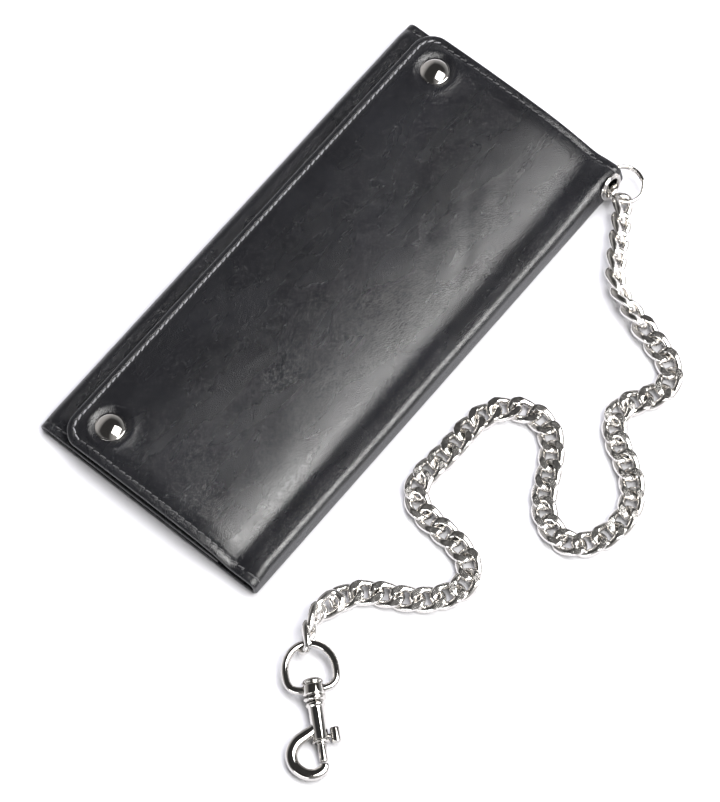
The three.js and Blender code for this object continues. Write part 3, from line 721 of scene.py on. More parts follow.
def cutWith(piece, points, faces, operation="DIFFERENCE"):
    # takes a closed shape away from a piece, or joins it on, for good
    tool = makePiece("cutter", points, faces, leather)
    change = piece.modifiers.new("cut", "BOOLEAN")
    change.operation = operation
    change.solver = "EXACT"
    change.object = tool
    bpy.context.view_layer.update()
    done = bpy.data.meshes.new_from_object(piece.evaluated_get(bpy.context.evaluated_depsgraph_get()))
    piece.modifiers.clear()
    piece.data = done
    bpy.data.objects.remove(tool)
    return piece


def addFlap():
    # rows run from the spine to the free edge and are squeezed to follow the round corners
    y = lengthStations(1.15)
    base = spread(cover["seam"], freeEdge, 0.78, [(34.0, 5.0, 0.5), (freeEdge, 5.5, 0.4)])
    rim = edgeStations()
    base = np.concatenate([base[base > freeEdge + rim[-1]], (freeEdge + rim)[::-1]])
    r = cover["corner"]
    over = np.clip(np.abs(y) - (halfLength - r), 0, r)
    edge = freeEdge + r - np.sqrt(np.maximum(r * r - over * over, 0))
    turn = freeEdge + 14.0
    x = np.where(base[:, None] > turn, base[:, None],
                 turn + (base[:, None] - turn) * ((edge - turn) / (freeEdge - turn))[None, :])
    yy = np.broadcast_to(y, x.shape)
    outer = np.stack([x, yy, flapTop(x, yy)], -1)
    away = edgeDistance(x, yy)
    along = np.where(halfLength - np.abs(yy) < x - freeEdge, x, yy * 0 + cover["stitchPitch"] / 4)
    points, faces = shellGrid(outer, halfRound(away, thick / 2), stitchGroove(away, along))
    piece = makePiece("cover_flap", points * mm, faces, leather, sharpAngle=60)
    bendWithFlap(piece)
    return finishLeather(piece, "flap_cover")


def spineCurve(y):
    # outer face from under the wallet, round the lower bend, up the wall and round the upper bend
    lean = math.radians(cover["lean"])
    r = cover["bend"]
    top = flapTop(cover["topBend"], y)
    span = (top - 2 * r) / math.cos(lean)
    lowX, lowZ = spineX - r, r
    highX, highZ = lowX - span * math.sin(lean), lowZ + span * math.cos(lean)
    rows = []
    for x in np.linspace(cover["underSeam"], lowX, 5)[:-1]:
        rows.append((np.full_like(y, x), np.zeros_like(y)))
    for a in np.linspace(-math.pi / 2, lean, 15):
        rows.append((lowX + r * math.cos(a) + 0 * y, lowZ + r * math.sin(a) + 0 * y))
    for t in np.linspace(0, 1, 9)[1:-1]:
        rows.append((lowX + (highX - lowX) * t + r * math.cos(lean),
                     lowZ + (highZ - lowZ) * t + r * math.sin(lean)))
    for a in np.linspace(lean, math.pi / 2, 17):
        rows.append((highX + r * math.cos(a), highZ + r * math.sin(a)))
    for t in np.linspace(0, 1, 7)[1:]:
        x = highX + (cover["seam"] - highX) * t
        start = flapTop(highX, y)
        rows.append((x, flapTop(x, y) + (top - start) * (1 - t)))
    x = np.stack([p[0] for p in rows])
    z = np.stack([p[1] for p in rows])
    return np.stack([x, np.broadcast_to(y, x.shape), z], -1)


eyelet = {
    "centre": np.array([44.01, 88.3, 5.77]),
    "facing": np.array([math.cos(math.radians(15)), 0, math.sin(math.radians(15))]),
    "hole": 3.1,            # radii, here and below
    "barrel": 3.28,
    "flange": 5.0,
    "leatherHole": 3.5,
}


def towardsWall(points):
    # turns a shape made about Z to stand on the spine wall at the eyelet
    f = eyelet["facing"]
    across = np.array([f[2], 0, -f[0]])
    up = np.array([0, 1.0, 0])
    return points[..., 0:1] * across + points[..., 1:2] * up + points[..., 2:3] * f + eyelet["centre"]


def addSpine():
    # the leather swells round the eyelet, and its hole is drilled at the end
    y = lengthStations(1.0)
    y = np.unique(np.round(np.concatenate([y, np.linspace(80, 94, 40)]), 4))
    y = y[np.concatenate([[True], np.diff(y) > 0.03])]
    y[-1] = halfLength
    outer = spineCurve(y)
    x, yy, z = outer[..., 0], outer[..., 1], outer[..., 2]
    away = halfLength - np.abs(yy)
    groove = stitchGroove(away, x) * smooth((z - 6.5) / 1.2) * (1 - 0.75 * smooth((x - 42.8) / 1.0))
    fromEyelet = outer - eyelet["centre"]
    alongAxis = fromEyelet @ eyelet["facing"]
    fromAxis = np.linalg.norm(fromEyelet - alongAxis[..., None] * eyelet["facing"], axis=-1)
    collar = np.where(x > 38, 0.22 * np.exp(-((fromAxis - 5.9) / 0.8) ** 2) * smooth((z - 1.2) / 2.0), 0)
    wave = 0.10 * ripple(z * 2.0, yy, 5, 26) * smooth((z - 2) / 3) * smooth(away / 10)
    points, faces = shellGrid(outer, halfRound(away, thick / 2), groove + collar + wave * 0.4)
    piece = makePiece("cover_spine", points * mm, faces, leather)
    drill, drillFaces = turnedGrid(rod(eyelet["leatherHole"], -4, 4))
    cutWith(piece, towardsWall(drill) * mm, drillFaces)
    piece.data.set_sharp_from_angle(angle=math.radians(60))
    bendWithFold(piece)
    return finishLeather(piece, "cover_fold_strip")


def endPinch(y):
    # the sewn ends press the body flat
    return 1 - cover["pinch"] * smooth((np.abs(y) - 88.0) / 5.5)


def frontWave(x, y):
    return 0.05 * ripple(x, y, 12, 30) * smooth((halfLength - np.abs(y)) / 9)


def addBody():
    # front panel, fold and back in one sheet, with the coin pocket's opening cut out of the front
    mouth = cover["mouth"]
    y = lengthStations(1.6)
    windowX = cover["windowX"]
    windowY = np.array([-cover["windowY"], cover["windowY"]])
    y = np.unique(np.concatenate([y[np.min(np.abs(y[:, None] - windowY), 1) > 0.2], windowY]))
    fold = cover["bodyFold"]
    front = spread(mouth, fold - spineX, 1.5, [(-40.0, 5.0, 0.6), (mouth, 1.0, 0.25)])
    front = front[np.min(np.abs(front[:, None] - np.array(windowX)), 1) > 0.3]
    front = np.sort(np.concatenate([front, windowX]))[::-1]
    rim = edgeStations()
    front = np.concatenate([mouth - rim, front[front < mouth - rim[-1]]])
    high = cover["bodyHigh"]
    rows = [(x, high) for x in front]
    rows += [(-spineX + fold + fold * math.cos(a), high / 2 + high / 2 * math.sin(a))
             for a in np.linspace(math.pi / 2, math.pi * 1.5, 21)[1:]]
    rows += [(x, 0.0) for x in spread(-spineX + fold, cover["underSeam"], 2.2)[1:]]
    x = np.array([r[0] for r in rows])[:, None] + 0 * y
    z = np.array([r[1] for r in rows])[:, None] + 0 * y
    yy = np.broadcast_to(y, x.shape)
    isFront = np.arange(len(rows))[:, None] < len(front)
    z = z * endPinch(yy) + np.where(isFront, frontWave(x, yy), 0)
    outer = np.stack([x, yy, z], -1)
    away = halfLength - np.abs(yy)
    rimAway = np.where(isFront, np.minimum(away, mouth - x), away)
    groove = stitchGroove(away, x) * smooth((x + spineX) / 1.5)
    top, bottom = (int(np.argmin(np.abs(x[:len(front), 0] - place))) for place in windowX)
    left, right = (int(np.argmin(np.abs(y - place))) for place in windowY)
    points, faces = shellGrid(outer, halfRound(rimAway, thick / 2), groove, (top, bottom, left, right))
    piece = makePiece("cover_body", points * mm, faces, leather, sharpAngle=60)
    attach(piece, "wallet")
    return finishLeather(piece, "outer_cover")


coverPieces = [addFlap(), addSpine(), addBody()]
print("leather cover cut and folded:", [len(p.data.polygons) for p in coverPieces])


# ---- sewing: every stitch is a small capsule of thread

thread = {
    "length": 2.3,
    "radius": 0.27,
    "edgePitch": 2.42,  # of the stitches round the free edge
    "tilt": 9.0,        # degrees that a stitch lies across its row
    "sink": 0.16,       # below the face of the leather
    "wander": 0.35,     # unevenness from stitch to stitch
}


def sew(centres, along, up, seed, size=1.0):
    # a capsule whose radius is r * (1 - u^4)^(1/2), with u from -1 to 1 along the stitch
    t = thread
    rng = np.random.default_rng(seed)
    count = len(centres)
    tilt = math.radians(t["tilt"]) * (1 + t["wander"] * rng.normal(size=count))[:, None]
    side = unit(np.cross(up, along))
    along = unit(along * np.cos(tilt) + side * np.sin(tilt))
    side = unit(np.cross(up, along))
    centres = centres + up * (t["wander"] * 0.14 * rng.normal(size=count))[:, None]
    u = np.sin(np.linspace(-math.pi / 2, math.pi / 2, 7))
    r = t["radius"] * size * np.sqrt(np.clip(1 - u ** 4, 0, 1))
    a = np.arange(6) * tau / 6
    x = np.broadcast_to(u[:, None] * t["length"] / 2, (7, 6)).reshape(-1)
    y = (r[:, None] * np.cos(a)).reshape(-1)
    z = (r[:, None] * np.sin(a)).reshape(-1)
    points = (centres[:, None] + x[None, :, None] * along[:, None]
              + y[None, :, None] * side[:, None] + z[None, :, None] * up[:, None])
    return points.reshape(-1, 3), repeatFaces(gridFaces(7, 6, False, True), count, 42)


def steadyUp(count, height=1.0):
    return np.broadcast_to(np.array([0, 0, height]), (count, 3))


def endRowX(start, end):
    # middles of the stitches of a row across the wallet, between two needle holes each
    p = cover["stitchPitch"]
    return (np.arange(math.ceil(min(start, end) / p), math.floor(max(start, end) / p)) + 0.5) * p


def addThread(name, parts, material):
    points, faces = joinGrids(parts)
    piece = makePiece(name, points * mm, faces, material)
    return piece


def endRow(x, y, height):
    # middles of the stitches of one row across the wallet
    return np.stack([x, np.full_like(x, y), height], -1)


def forward(path):
    return unit(np.gradient(path, axis=0))


def addStitches():
    rowY = halfLength - cover["stitchIn"]

    # across both ends of the flap
    x = endRowX(cover["seam"] - 0.4, freeEdge + cover["corner"])
    parts = []
    for end in (-1, 1):
        centres = endRow(x, end * rowY, flapTop(x, end * rowY) - thread["sink"])
        parts.append(sew(centres, forward(centres), steadyUp(len(x)), 11 + end))
    bendWithFlap(addThread("flap_end_stitches", parts, darkThread))

    # round the corners and along the free edge
    r = cover["corner"] - cover["stitchIn"]
    a = np.linspace(-math.pi / 2, -math.pi, 14)
    cx, cy = freeEdge + cover["corner"], halfLength - cover["corner"]
    low = np.stack([cx + r * np.cos(a), -cy + r * np.sin(a), 0 * a], -1)
    path = np.concatenate([low, low[::-1] * np.array([1, -1, 1])])
    count = int(round(lengths(path)[-1] / thread["edgePitch"]))
    path = resample(path, 2 * count + 1)[1::2]
    path[:, 2] = flapTop(path[:, 0], path[:, 1]) - thread["sink"] + 0.03
    along = forward(path)
    parts = [sew(path, along, steadyUp(len(path)), 21, 1.05)]
    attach(addThread("flap_edge_stitches", parts, lightThread), "flap")

    # the same rows seen from inside, on the flap's lining
    parts = []
    inner = x[x < 28.5]
    for end in (-1, 1):
        centres = endRow(inner, end * rowY, liningUnder(inner, end * rowY) - 0.05)
        parts.append(sew(centres, forward(centres), steadyUp(len(inner), -1.0), 31 + end))
    inside = path.copy()
    inside[:, 2] = liningUnder(path[:, 0], path[:, 1]) - 0.05
    parts.append(sew(inside, along, steadyUp(len(path), -1.0), 41))
    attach(addThread("lining_stitches", parts, darkThread), "flap")

    # on the last stretch of the flap's rows, over the spine's upper bend
    parts = []
    for end in (-1, 1):
        curve = spineCurve(np.array([end * rowY]))[:, 0]
        centres = resample(curve[curve[:, 2] > 6.5][::-1], 9)[1::2]
        along = forward(centres)
        up = unit(np.cross(along, np.array([0, 1.0, 0])))
        up = up * np.sign(up[:, 2:3])
        parts.append(sew(centres - up * 0.08, along, up, 51 + end, 0.9))
    bendWithFold(addThread("spine_stitches", parts, darkThread))

    # front panel and back, sewn together across both ends
    front = endRowX(cover["mouth"] - 1.2, 3.5 - spineX)
    back = endRowX(cover["underSeam"] + 1.5, 3.5 - spineX)
    parts = []
    for end in (-1, 1):
        frontTop = cover["bodyHigh"] * endPinch(end * rowY) + frontWave(front, end * rowY)
        for row, height, side, seed, size in (
            (front, frontTop - thread["sink"], 1.0, 61, 1.0),
            (back, np.full_like(back, 0.38), -1.0, 71, 0.8),
        ):
            centres = endRow(row, end * rowY, height)
            across = np.broadcast_to([1.0, 0, 0], centres.shape)
            parts.append(sew(centres, across, steadyUp(len(row), side), seed + end, size))
    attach(addThread("body_stitches", parts, darkThread), "wallet")


# ---- the flap's lining and card pockets, which follow the flap's curve

pockets = {
    "gap": 1.55,            # from the flap's face to its lining
    "lining": 0.36,
    "step": 0.52,           # from one layer of card leather to the next
    "leather": 0.38,
    "lip": 0.9,             # folded lip along each card slot
}


def liningUnder(x, y):
    # height of the lining's under side
    return flapTop(x, y) - pockets["gap"] - pockets["lining"]


def layer(lowX, highX, lowY, highY, drop, thin, corner, lip=0.0):
    # a thin panel under the flap: both faces at a set depth, edges rounded, corners cut by a curve
    half = thin / 2
    rim = edgeStations(half, 3)
    y = spread(lowY + rim[-1], highY - rim[-1], 1.7)
    y = np.concatenate([lowY + rim[:-1], y, (highY - rim[:-1])[::-1]])
    base = spread(lowX + rim[-1], highX - rim[-1], 1.3)
    base = np.concatenate([lowX + rim[:-1], base, (highX - rim[:-1])[::-1]])
    fromEnd = np.minimum(y - lowY, highY - y)
    over = np.clip(corner - fromEnd, 0, corner)
    pull = corner - np.sqrt(np.maximum(corner ** 2 - over ** 2, 0))
    t = (base - lowX) / (highX - lowX)
    x = base[:, None] + pull[None, :] * (1 - np.clip(t * 4, 0, 1))[:, None]
    yy = np.broadcast_to(y, x.shape)
    away = np.minimum(np.minimum(t[:, None] * (highX - lowX), highX - base[:, None]), fromEnd[None, :])
    h = halfRound(away, half)
    seam = 0.16 * np.exp(-((base[:, None] - lowX - lip) / 0.3) ** 2) if lip else 0
    middle = flapTop(x, yy) - drop - half
    upper = np.stack([x, yy, middle + h], -1)
    lower = np.stack([x, yy, middle - h + seam * np.clip(h / half, 0, 1)], -1)
    return np.concatenate([upper, lower[::-1]]), gridFaces(2 * len(base), len(y), True, False)


def addLayer(node, name, material, drop, thin, corner, lip=0.0):
    low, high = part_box(node)
    points, faces = layer(low.x / mm, high.x / mm, low.y / mm, high.y / mm, drop, thin, corner, lip)
    piece = makePiece(name, points * mm, faces, material, sharpAngle=50)
    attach(piece, "flap")
    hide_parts(node)


def addPockets():
    p = pockets
    addLayer("flap_lining", "curved_flap_lining", cloth, p["gap"], p["lining"],
             cover["corner"] - 0.6)
    for side in ("left", "right"):
        for number in (1, 2, 3):
            drop = p["gap"] + p["lining"] + 0.1 + p["step"] * (number - 1)
            addLayer(f"card_pocket_{side}_{number}", f"card_slot_{side}_{number}", pocketLeather,
                     drop, p["leather"], 1.2, p["lip"])


# ---- metalwork

def finishMetal(piece, body, node):
    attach(piece, body)
    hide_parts(node)


def addMetal(name, points, faces, body, node, sharpAngle=50):
    # a nickel piece whose points are in millimetres
    piece = makePiece(name, points * mm, faces, nickel, sharpAngle)
    finishMetal(piece, body, node)


snap = {
    "rim": 5.0,
    "dome": 4.74,       # radius of the domed part
    "domeHigh": 1.85,
    "seat": cover["snapSeat"],
}


def addSnaps():
    # the cap's dome is part of a sphere of radius (r^2 + h^2) / 2h
    s = snap
    bend = (s["dome"] ** 2 + s["domeHigh"] ** 2) / (2 * s["domeHigh"])
    a = np.linspace(0, math.asin(s["dome"] / bend), 22)
    top = s["seat"] + 0.5 + s["domeHigh"]
    dome = np.stack([bend * np.sin(a), top - bend * (1 - np.cos(a))], -1)
    rim = roundedProfile([
        (s["dome"], s["seat"] + 0.5, 0), (s["rim"], s["seat"] + 0.36, 0.14),
        (s["rim"], s["seat"] + 0.06, 0.14), (s["rim"] - 0.5, s["seat"] - 0.05, 0),
        (1.6, s["seat"] - 0.05, 0), (1.5, 8.5, 0.1), (0, 8.5, 0),
    ], 5)
    capProfile = np.concatenate([dome, rim[1:]])
    socketProfile = roundedProfile([
        (1.9, 8.68, 0), (4.55, 8.68, 0.15), (4.8, 8.3, 0.25), (4.8, 7.75, 0.3), (4.2, 7.0, 0.4),
        (3.3, 7.0, 0.2), (3.0, 7.35, 0.25), (2.75, 7.0, 0.2), (2.3, 7.0, 0.15), (2.25, 7.9, 0.1),
        (1.9, 8.1, 0.1), (1.9, 8.68, 0),
    ], 4)
    studProfile = roundedProfile([
        (0, 8.02, 0), (1.45, 8.02, 0.4), (1.95, 7.55, 0.35), (1.72, 7.0, 0.3), (2.1, 6.75, 0.25),
        (3.2, 6.75, 0.2), (3.5, 6.95, 0.25), (4.2, 6.75, 0.3), (4.5, 6.4, 0.2), (4.45, 6.2, 0.1),
        (0, 6.2, 0),
    ], 4)
    shapes = (("domed", "cap", capProfile, "flap"), ("pressed", "socket", socketProfile, "flap"),
              ("pressed", "stud", studProfile, "wallet"))
    for number in (1, 2):
        low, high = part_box(f"snap_cap_{number}")
        centre = np.array((low + high) / 2) / mm * np.array([1, 1, 0])
        for kind, name, profile, body in shapes:
            points, faces = turnedGrid(profile, 72)
            addMetal(f"{kind}_{name}_{number}", points + centre, faces, body, f"snap_{name}_{number}")


def addEyelet():
    hole, barrel, flange = eyelet["hole"], eyelet["barrel"], eyelet["flange"]
    points, faces = turnedGrid(roundedProfile([
        (hole, -1.2, 0), (hole, 1.2, 0.5), (3.75, 2.05, 0.55), (4.25, 1.5, 0.16), (4.45, 1.62, 0.14),
        (flange, 1.5, 0.4), (flange, 1.0, 0.15), (barrel, 1.0, 0), (barrel, -1.2, 0), (hole, -1.2, 0),
    ], 7), 80)
    addMetal("rolled_eyelet", towardsWall(points), faces, "wallet", "eyelet")
    points, faces = turnedGrid(roundedProfile([
        (hole, -1.6, 0), (3.5, -1.6, 0.1), (3.5, -1.33, 0.1), (hole, -1.33, 0), (hole, -1.6, 0),
    ], 3), 60)
    addMetal("eyelet_backing", towardsWall(points), faces, "wallet", "eyelet_washer")


splitRing = {
    "centre": (47.74, 92.42, 4.73),
    "radius": 6.3,
    "wire": 0.6,            # radius
    "rise": 1.22,           # from one turn to the next
    "turns": 1.9,
    "dip": 9.0,             # degrees that the ring tilts down away from the wallet
    "start": 0.3 * math.pi,
    "steps": 200,
}


def addSplitRing():
    # a wire wound nearly twice round, which steps up one wire at the end of its first turn
    s = splitRing
    turns = np.linspace(0, s["turns"], s["steps"])
    a = turns * tau + s["start"]
    rise = (smooth((turns - 0.9) / 0.1) - 0.5) * s["rise"]
    path = np.stack([s["radius"] * np.cos(a), s["radius"] * np.sin(a), rise], -1)
    side, up = planeFrames(path, np.array([0, 0, 1.0]))
    width = np.full(s["steps"], s["wire"])
    width[0] = width[-1] = 0
    path[0], path[-1] = path[1], path[-2]
    points, faces = tubeGrid(path, width, side, up, 14)
    dip = math.radians(s["dip"])
    x, y, z = points[..., 0], points[..., 1], points[..., 2]
    c, d = math.cos(dip), math.sin(dip)
    points = np.stack([x * c + z * d, y, z * c - x * d], -1) + np.array(s["centre"])
    addMetal("double_split_ring", points, faces, "wallet", "split_ring")


def onClip(points, level=False):
    # x along the clip, away from the ring, y to the thumb stud, z up; or with x laid level
    spin = next(joint for joint in frame["joints"] if joint["name"] == "hook_spin")
    x = np.array(spin["axis"], float)
    x = unit(x * np.array([1, 1, 0]) if level else x)
    y = unit(np.cross(np.array([0, 0, 1.0]), x))
    z = np.cross(x, y)
    origin = np.array(spin["pos_m"]) / mm
    return origin + points[..., 0:1] * x + points[..., 1:2] * y + points[..., 2:3] * z


def alongX(points):
    # a shape turned about Z, laid along X
    return np.stack([points[..., 2], points[..., 1], -points[..., 0]], -1)


def alongY(points):
    # the same, laid along Y
    return np.stack([points[..., 0], points[..., 2], -points[..., 1]], -1)


def blockGrid(low, high):
    # a plain block between two corners
    x0, y0, z0 = low
    x1, y1, z1 = high
    points = np.array([[x0, y0, z0], [x1, y0, z0], [x1, y1, z0], [x0, y1, z0],
                       [x0, y0, z1], [x1, y0, z1], [x1, y1, z1], [x0, y1, z1]], float)
    faces = np.array([[3, 2, 1, 0], [4, 5, 6, 7], [0, 1, 5, 4], [1, 2, 6, 5], [2, 3, 7, 6], [3, 0, 4, 7]])
    return points, faces


clip = {
    "ringWire": 1.32,
    "ringHalfWidth": 8.1,
    "ringDepth": 15.6,
    "ringShoulder": 6.6,      # from the bar back to the ring's widest place
    "hookThick": 1.85,        # half thickness
    "boltRadius": 1.42,
    "boltTip": 23.65,
    "bore": 1.6,
    "studPlace": 15.4,
    # the hook's middle line, with its half width at each point
    "hookLine": [(11.6, -0.6, 1.6), (13.2, -2.4, 1.9), (14.5, -5.0, 2.05), (16.3, -7.9, 2.05),
                 (19.6, -9.85, 2.0), (23.4, -9.5, 2.0), (26.3, -7.0, 1.98), (27.3, -3.9, 1.95),
                 (26.5, -1.2, 1.85), (25.3, -0.15, 1.7), (24.1, 0.0, 1.5)],
}


def addDRing():
    # half an ellipse behind, and half a squared-off one, |x/a|^n + |y/b|^n = 1, for the straight bar
    c = clip
    t = np.linspace(0, tau, 480, endpoint=False)
    k, s = np.cos(t), np.sin(t)
    square = np.where(k > 0, 2 / 3.4, 1.0)
    reach = np.where(k > 0, c["ringShoulder"], c["ringDepth"] - c["ringShoulder"])
    x = -c["ringShoulder"] + reach * power(k, square)
    y = c["ringHalfWidth"] * power(s, square)
    path = resample(np.stack([x, y, 0 * t], -1), 120, True)
    side, up = planeFrames(path, np.array([0, 0, 1.0]), True)
    points, faces = tubeGrid(path, c["ringWire"], side, up, 24, True)
    addMetal("swivel_ring", onClip(points, True), faces, "wallet", "d_ring", None)


def addCollar():
    # a turned eye, drilled across for the ring's bar, with a slot in each side
    profile = roundedProfile([
        (0, -3.7, 0), (2.3, -3.7, 0.9), (3.4, -3.0, 0.6), (3.5, -2.2, 0.2), (3.15, -1.95, 0.12),
        (3.15, -1.6, 0.12), (3.6, -1.3, 0.25), (3.7, 1.7, 0.2), (3.45, 1.9, 0.12), (3.45, 2.15, 0.12),
        (3.7, 2.4, 0.2), (3.6, 3.5, 0.4), (2.9, 4.0, 0.3), (2.0, 3.9, 0.2), (1.5, 3.6, 0),
        (1.5, 3.4, 0), (2.2, 3.4, 0), (2.2, 2.1, 0), (0, 2.1, 0),
    ], 5)
    points, faces = turnedGrid(profile, 64)
    piece = makePiece("swivel_eye", onClip(alongX(points)) * mm, faces, nickel)
    hole, holeFaces = turnedGrid(rod(1.5, -6, 6), 40)
    cutWith(piece, onClip(alongY(hole)) * mm, holeFaces)
    for side in (-1, 1):
        low = (2.35, 1.5 * side, -5)
        high = (3.05, 5 * side, 5)
        slot, slotFaces = blockGrid(np.minimum(low, high), np.maximum(low, high))
        cutWith(piece, onClip(slot) * mm, slotFaces)
    piece.data.set_sharp_from_angle(angle=math.radians(40))
    finishMetal(piece, "swivel", "swivel_collar")


def addHook():
    # a turned shank with a bent hook of changing width joined on, then bored and slotted for the bolt
    c = clip
    shank = roundedProfile([
        (0, 2.5, 0), (1.7, 2.5, 0.4), (1.95, 3.0, 0.3), (1.2, 3.5, 0.2), (1.2, 4.2, 0.15),
        (2.5, 4.2, 0.4), (3.15, 4.7, 0.3), (3.15, 5.4, 0.35), (2.6, 6.0, 0.35), (2.6, 16.6, 0.3),
        (2.85, 16.8, 0.2), (2.85, 17.3, 0.2), (2.5, 17.5, 0.15), (0, 17.5, 0),
    ], 5)
    points, faces = turnedGrid(shank, 64)
    piece = makePiece("hook", onClip(alongX(points)) * mm, faces, nickel)

    curve = smoothPath(c["hookLine"], 10)
    flat = curve * np.array([1, 1, 0])
    length = lengths(flat)
    places = np.linspace(0, length[-1], 90)
    path = pointsAt(flat, length, places)
    width = np.interp(places, length, curve[:, 2])
    thickness = c["hookThick"] * np.minimum(1, width / 1.9) ** 0.5
    side, up = planeFrames(path, np.array([0, 0, 1.0]))
    fromTip = length[-1] - places
    draw = np.sqrt(np.clip(1 - (1 - np.clip(fromTip / 0.35, 0, 1)) ** 2, 0, 1)) * 0.25 + 0.75
    draw[0] = draw[-1] = 0
    path[0], path[-1] = path[1], path[-2]
    a = np.arange(32) * tau / 32
    across, high = power(np.cos(a), 0.86), power(np.sin(a), 0.86)
    points = (path[:, None] + (width * draw)[:, None, None] * across[None, :, None] * side[:, None]
              + (thickness * draw)[:, None, None] * high[None, :, None] * up[:, None])
    cutWith(piece, onClip(points) * mm, gridFaces(90, 32, False, True), "UNION")

    bore, boreFaces = turnedGrid(rod(c["bore"], 8.2, 19.0), 40)
    cutWith(piece, onClip(alongX(bore)) * mm, boreFaces)
    slot, slotFaces = blockGrid((10.4, 0, -0.85), (c["studPlace"] + 1.0, 4, 0.85))
    cutWith(piece, onClip(slot) * mm, slotFaces)
    piece.data.set_sharp_from_angle(angle=math.radians(38))
    finishMetal(piece, "hook", "hook_body")


def addBolt():
    # the bolt with a fine groove, its thumb stud on a stalk, and the coil spring behind it
    c = clip
    r = c["boltRadius"]
    points, faces = turnedGrid(roundedProfile([
        (0, 13.6, 0), (r, 13.6, 0.15), (r, 17.9, 0.05), (r - 0.12, 18.0, 0.05), (r - 0.12, 18.3, 0.05),
        (r, 18.4, 0.05), (r, c["boltTip"], 0.5), (0, c["boltTip"], 0),
    ], 5))
    addMetal("sliding_bolt", onClip(alongX(points)), faces, "bolt", "bolt")
    stalk, stalkFaces = turnedGrid([(0, 1.2), (0.62, 1.2), (0.62, 3.6), (0.8, 3.9), (0, 3.9)], 24)
    knob, knobFaces = turnedGrid(roundedProfile([
        (0, -2.4, 0), (1.62, -2.4, 0.35), (1.62, 2.4, 0.35), (0, 2.4, 0),
    ], 6), 40)
    place = np.array([c["studPlace"], 0, 0])
    points, faces = joinGrids([(alongY(stalk) + place, stalkFaces),
                               (alongX(knob) + place + np.array([0, 4.85, 0]), knobFaces)])
    addMetal("thumb_knob", onClip(points), faces, "bolt", "thumb_stud")
    a = np.linspace(0, 2, 70) * tau
    path = np.stack([8.45 + 0.62 * a / (2 * tau), 1.1 * np.cos(a), 1.1 * np.sin(a)], -1)
    side, up = planeFrames(path, np.array([1.0, 0, 0]))
    points, faces = tubeGrid(path, np.concatenate([[0], np.full(68, 0.14), [0]]), side, up, 10)
    addMetal("coil_spring", onClip(points), faces, "hook", "bolt_spring", None)


# ---- the zip

zipTeeth = {"pitch": 1.5, "reach": 2.55, "wide": 1.02, "high": 0.56, "cross": 0.42}


def addTeeth():
    # rounded blocks, by turns from the left and from the right, that pass each other in the middle
    z = zipTeeth
    low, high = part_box("zip_teeth")
    count = int((high.y - low.y) / mm / z["pitch"])
    y = (np.arange(count) - (count - 1) / 2) * z["pitch"]
    centreX, centreZ = (low.x + high.x) / 2 / mm, (low.z + high.z) / 2 / mm
    u = np.sin(np.linspace(-math.pi / 2, math.pi / 2, 6))
    a = np.arange(8) * tau / 8 + tau / 16
    body = np.sqrt(np.clip(1 - u ** 6, 0, 1))
    across = np.broadcast_to(u[:, None], (6, 8)).reshape(-1) * z["reach"] / 2
    wide = (body[:, None] * power(np.cos(a), 0.5)).reshape(-1) * z["wide"] / 2 * 1.3
    tall = (body[:, None] * power(np.sin(a), 0.5)).reshape(-1) * z["high"]
    side = np.where(np.arange(count) % 2 == 0, -1.0, 1.0)
    middle = centreX + side * (z["reach"] / 2 - z["cross"])
    points = np.stack([middle[:, None] + across[None], y[:, None] + wide[None] + 0 * middle[:, None],
                       np.broadcast_to(centreZ + tall, (count, 48))], -1)
    faces = repeatFaces(gridFaces(6, 8, False, True), count, 48)
    piece = makePiece("zip_teeth_rows", points.reshape(-1, 3) * mm, faces, zipMetal, sharpAngle=60)
    finishMetal(piece, "wallet", "zip_teeth")


def addSoftened(node, name, body, width):
    # a copy of a small CAD part of the zip with its edges rounded
    mesh = frame["nodes"][node].data.copy()
    mesh.name = name
    work = bmesh.new()
    work.from_mesh(mesh)
    bmesh.ops.remove_doubles(work, verts=work.verts, dist=2e-6)
    flat = math.radians(2)
    bmesh.ops.dissolve_limit(work, angle_limit=flat, verts=work.verts, edges=work.edges)
    bmesh.ops.recalc_face_normals(work, faces=work.faces)
    work.to_mesh(mesh)
    work.free()
    mesh.shade_smooth()
    mesh.materials.clear()
    mesh.materials.append(zipMetal)
    piece = bpy.data.objects.new(name, mesh)
    bpy.context.scene.collection.objects.link(piece)
    bevel = piece.modifiers.new("soft edges", "BEVEL")
    bevel.width = width * mm
    bevel.segments = 3
    bevel.limit_method = "ANGLE"
    bevel.angle_limit = math.radians(35)
    bevel.harden_normals = True
    finishMetal(piece, body, node)


def dressNode(node, material):
    # a CAD node that keeps its shape gets its finish
    thing = frame["nodes"][node]
    if not thing.data.materials:
        thing.data.materials.append(material)
    for holder in thing.material_slots:
        holder.link = "OBJECT"
        holder.material = material


addStitches()
addPockets()
print("sewn and lined")
addSnaps()
addEyelet()
addSplitRing()
addDRing()
addCollar()
addHook()
addBolt()
addTeeth()
addSoftened("zip_slider", "rounded_slider", "slider", 0.12)
addSoftened("zip_pull", "rounded_pull", "pull", 0.09)
addSoftened("zip_stop_closed_end", "crimped_stop_top", "wallet", 0.3)
addSoftened("zip_stop_open_end", "crimped_stop_bottom", "wallet", 0.3)
for node in ("snap_post_1", "snap_post_2"):
    dressNode(node, nickel)
for node in ("bill_divider", "coin_pocket_lining", "zip_tape_inner", "zip_tape_outer"):
    dressNode(node, cloth)
print("metalwork fitted")


# ---- the floor and the light

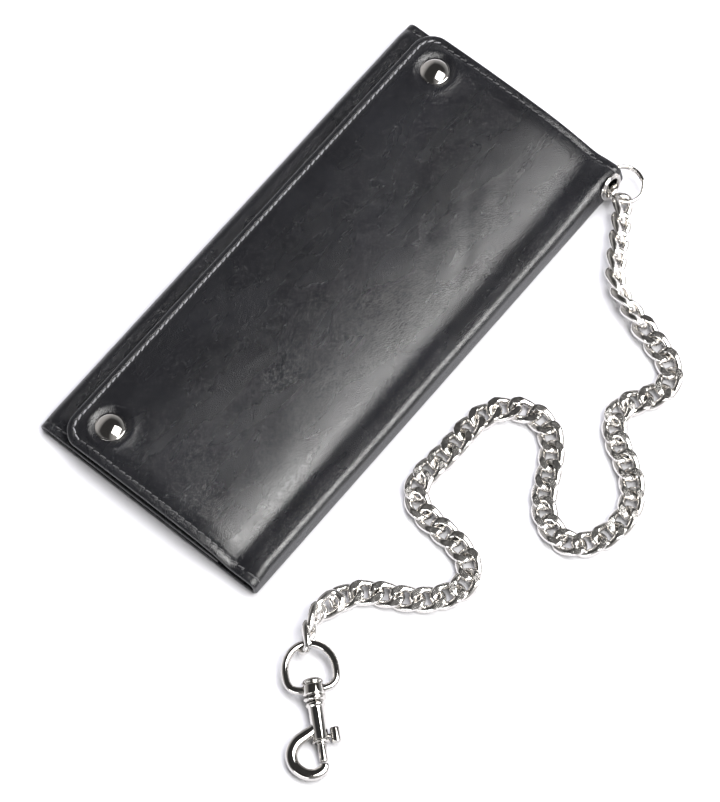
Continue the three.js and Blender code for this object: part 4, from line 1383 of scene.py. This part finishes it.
stageSetup = {
    "floorSize": 5.0,
    "floorColour": (0.47, 0.47, 0.485),
    # a pale wall stands behind the wallet: brightness by how far a direction points into it
    "wallSide": (-0.847, 0.036, -0.530),
    "sky": [(0.0, 0.55), (0.09, 0.30), (0.17, 0.045), (0.60, 0.05), (0.75, 0.50), (1.0, 0.85)],
    "horizon": (0.05, 0.62, 0.55),      # from and to this height of a direction, the brightness fades out
    "lights": [
        # name, where it hangs, width, height, power, colour
        ("fill", (-0.55, 0.75, 1.75), 1.5, 1.5, 72.0, (0.955, 0.945, 1.0)),
        ("key", (0.62, 0.18, 1.00), 1.0, 0.85, 34.0, (1.0, 0.99, 0.975)),
        ("near", (0.25, -1.2, 0.40), 0.9, 0.35, 4.0, (0.98, 0.985, 1.0)),
    ],
}


def addStage(s):
    # the world is the brighter of two glows: a wall behind the wallet, and the horizon
    half = s["floorSize"] / 2
    corners = np.array([[-half, -half, 0], [half, -half, 0], [half, half, 0], [-half, half, 0]], float)
    material, _, shader, _ = nodesOf("pale floor")
    colour = (*s["floorColour"], 1.0)
    setInputs(shader, {"Base Color": colour, "Roughness": 0.75, "Specular IOR Level": 0.2})
    floor = makePiece("floor", corners, np.array([[0, 1, 2, 3]]), material)
    world = bpy.data.worlds.new("studio")
    bpy.context.scene.world = world
    world.use_nodes = True
    tree = world.node_tree
    place = addNode(tree, "ShaderNodeTexCoord").outputs["Generated"]
    into = addNode(tree, "ShaderNodeVectorMath", {1: s["wallSide"]}, operation="DOT_PRODUCT")
    tree.links.new(place, into.inputs[0])
    spot = mapRange(tree, into.outputs["Value"], -1.0, 1.0, 0.0, 1.0)
    shade = ramp(tree, spot, [(z, (v, v * 0.975, v * 0.965)) for z, v in s["sky"]])
    split = addNode(tree, "ShaderNodeSeparateXYZ")
    tree.links.new(place, split.inputs[0])
    low, high, bright = s["horizon"]
    glow = mapRange(tree, split.outputs["Z"], low, high, bright, 0.0)
    both = addNode(tree, "ShaderNodeVectorMath", operation="MAXIMUM")
    tree.links.new(shade, both.inputs[0])
    tree.links.new(glow, both.inputs[1])
    tree.links.new(both.outputs[0], tree.nodes["Background"].inputs["Color"])
    for name, where, width, height, power, colour in s["lights"]:
        data = bpy.data.lights.new(name, "AREA")
        data.shape = "RECTANGLE"
        data.size, data.size_y = width, height
        data.energy = power
        data.color = colour
        lamp = bpy.data.objects.new(name, data)
        lamp.location = where
        lamp.rotation_euler = (-Vector(where)).to_track_quat("-Z", "Y").to_euler()
        lamp.visible_glossy = name != "fill"    # the ceiling stays dark in the metal
        bpy.context.scene.collection.objects.link(lamp)
    bpy.context.scene.view_settings.view_transform = "Standard"


addStage(stageSetup)
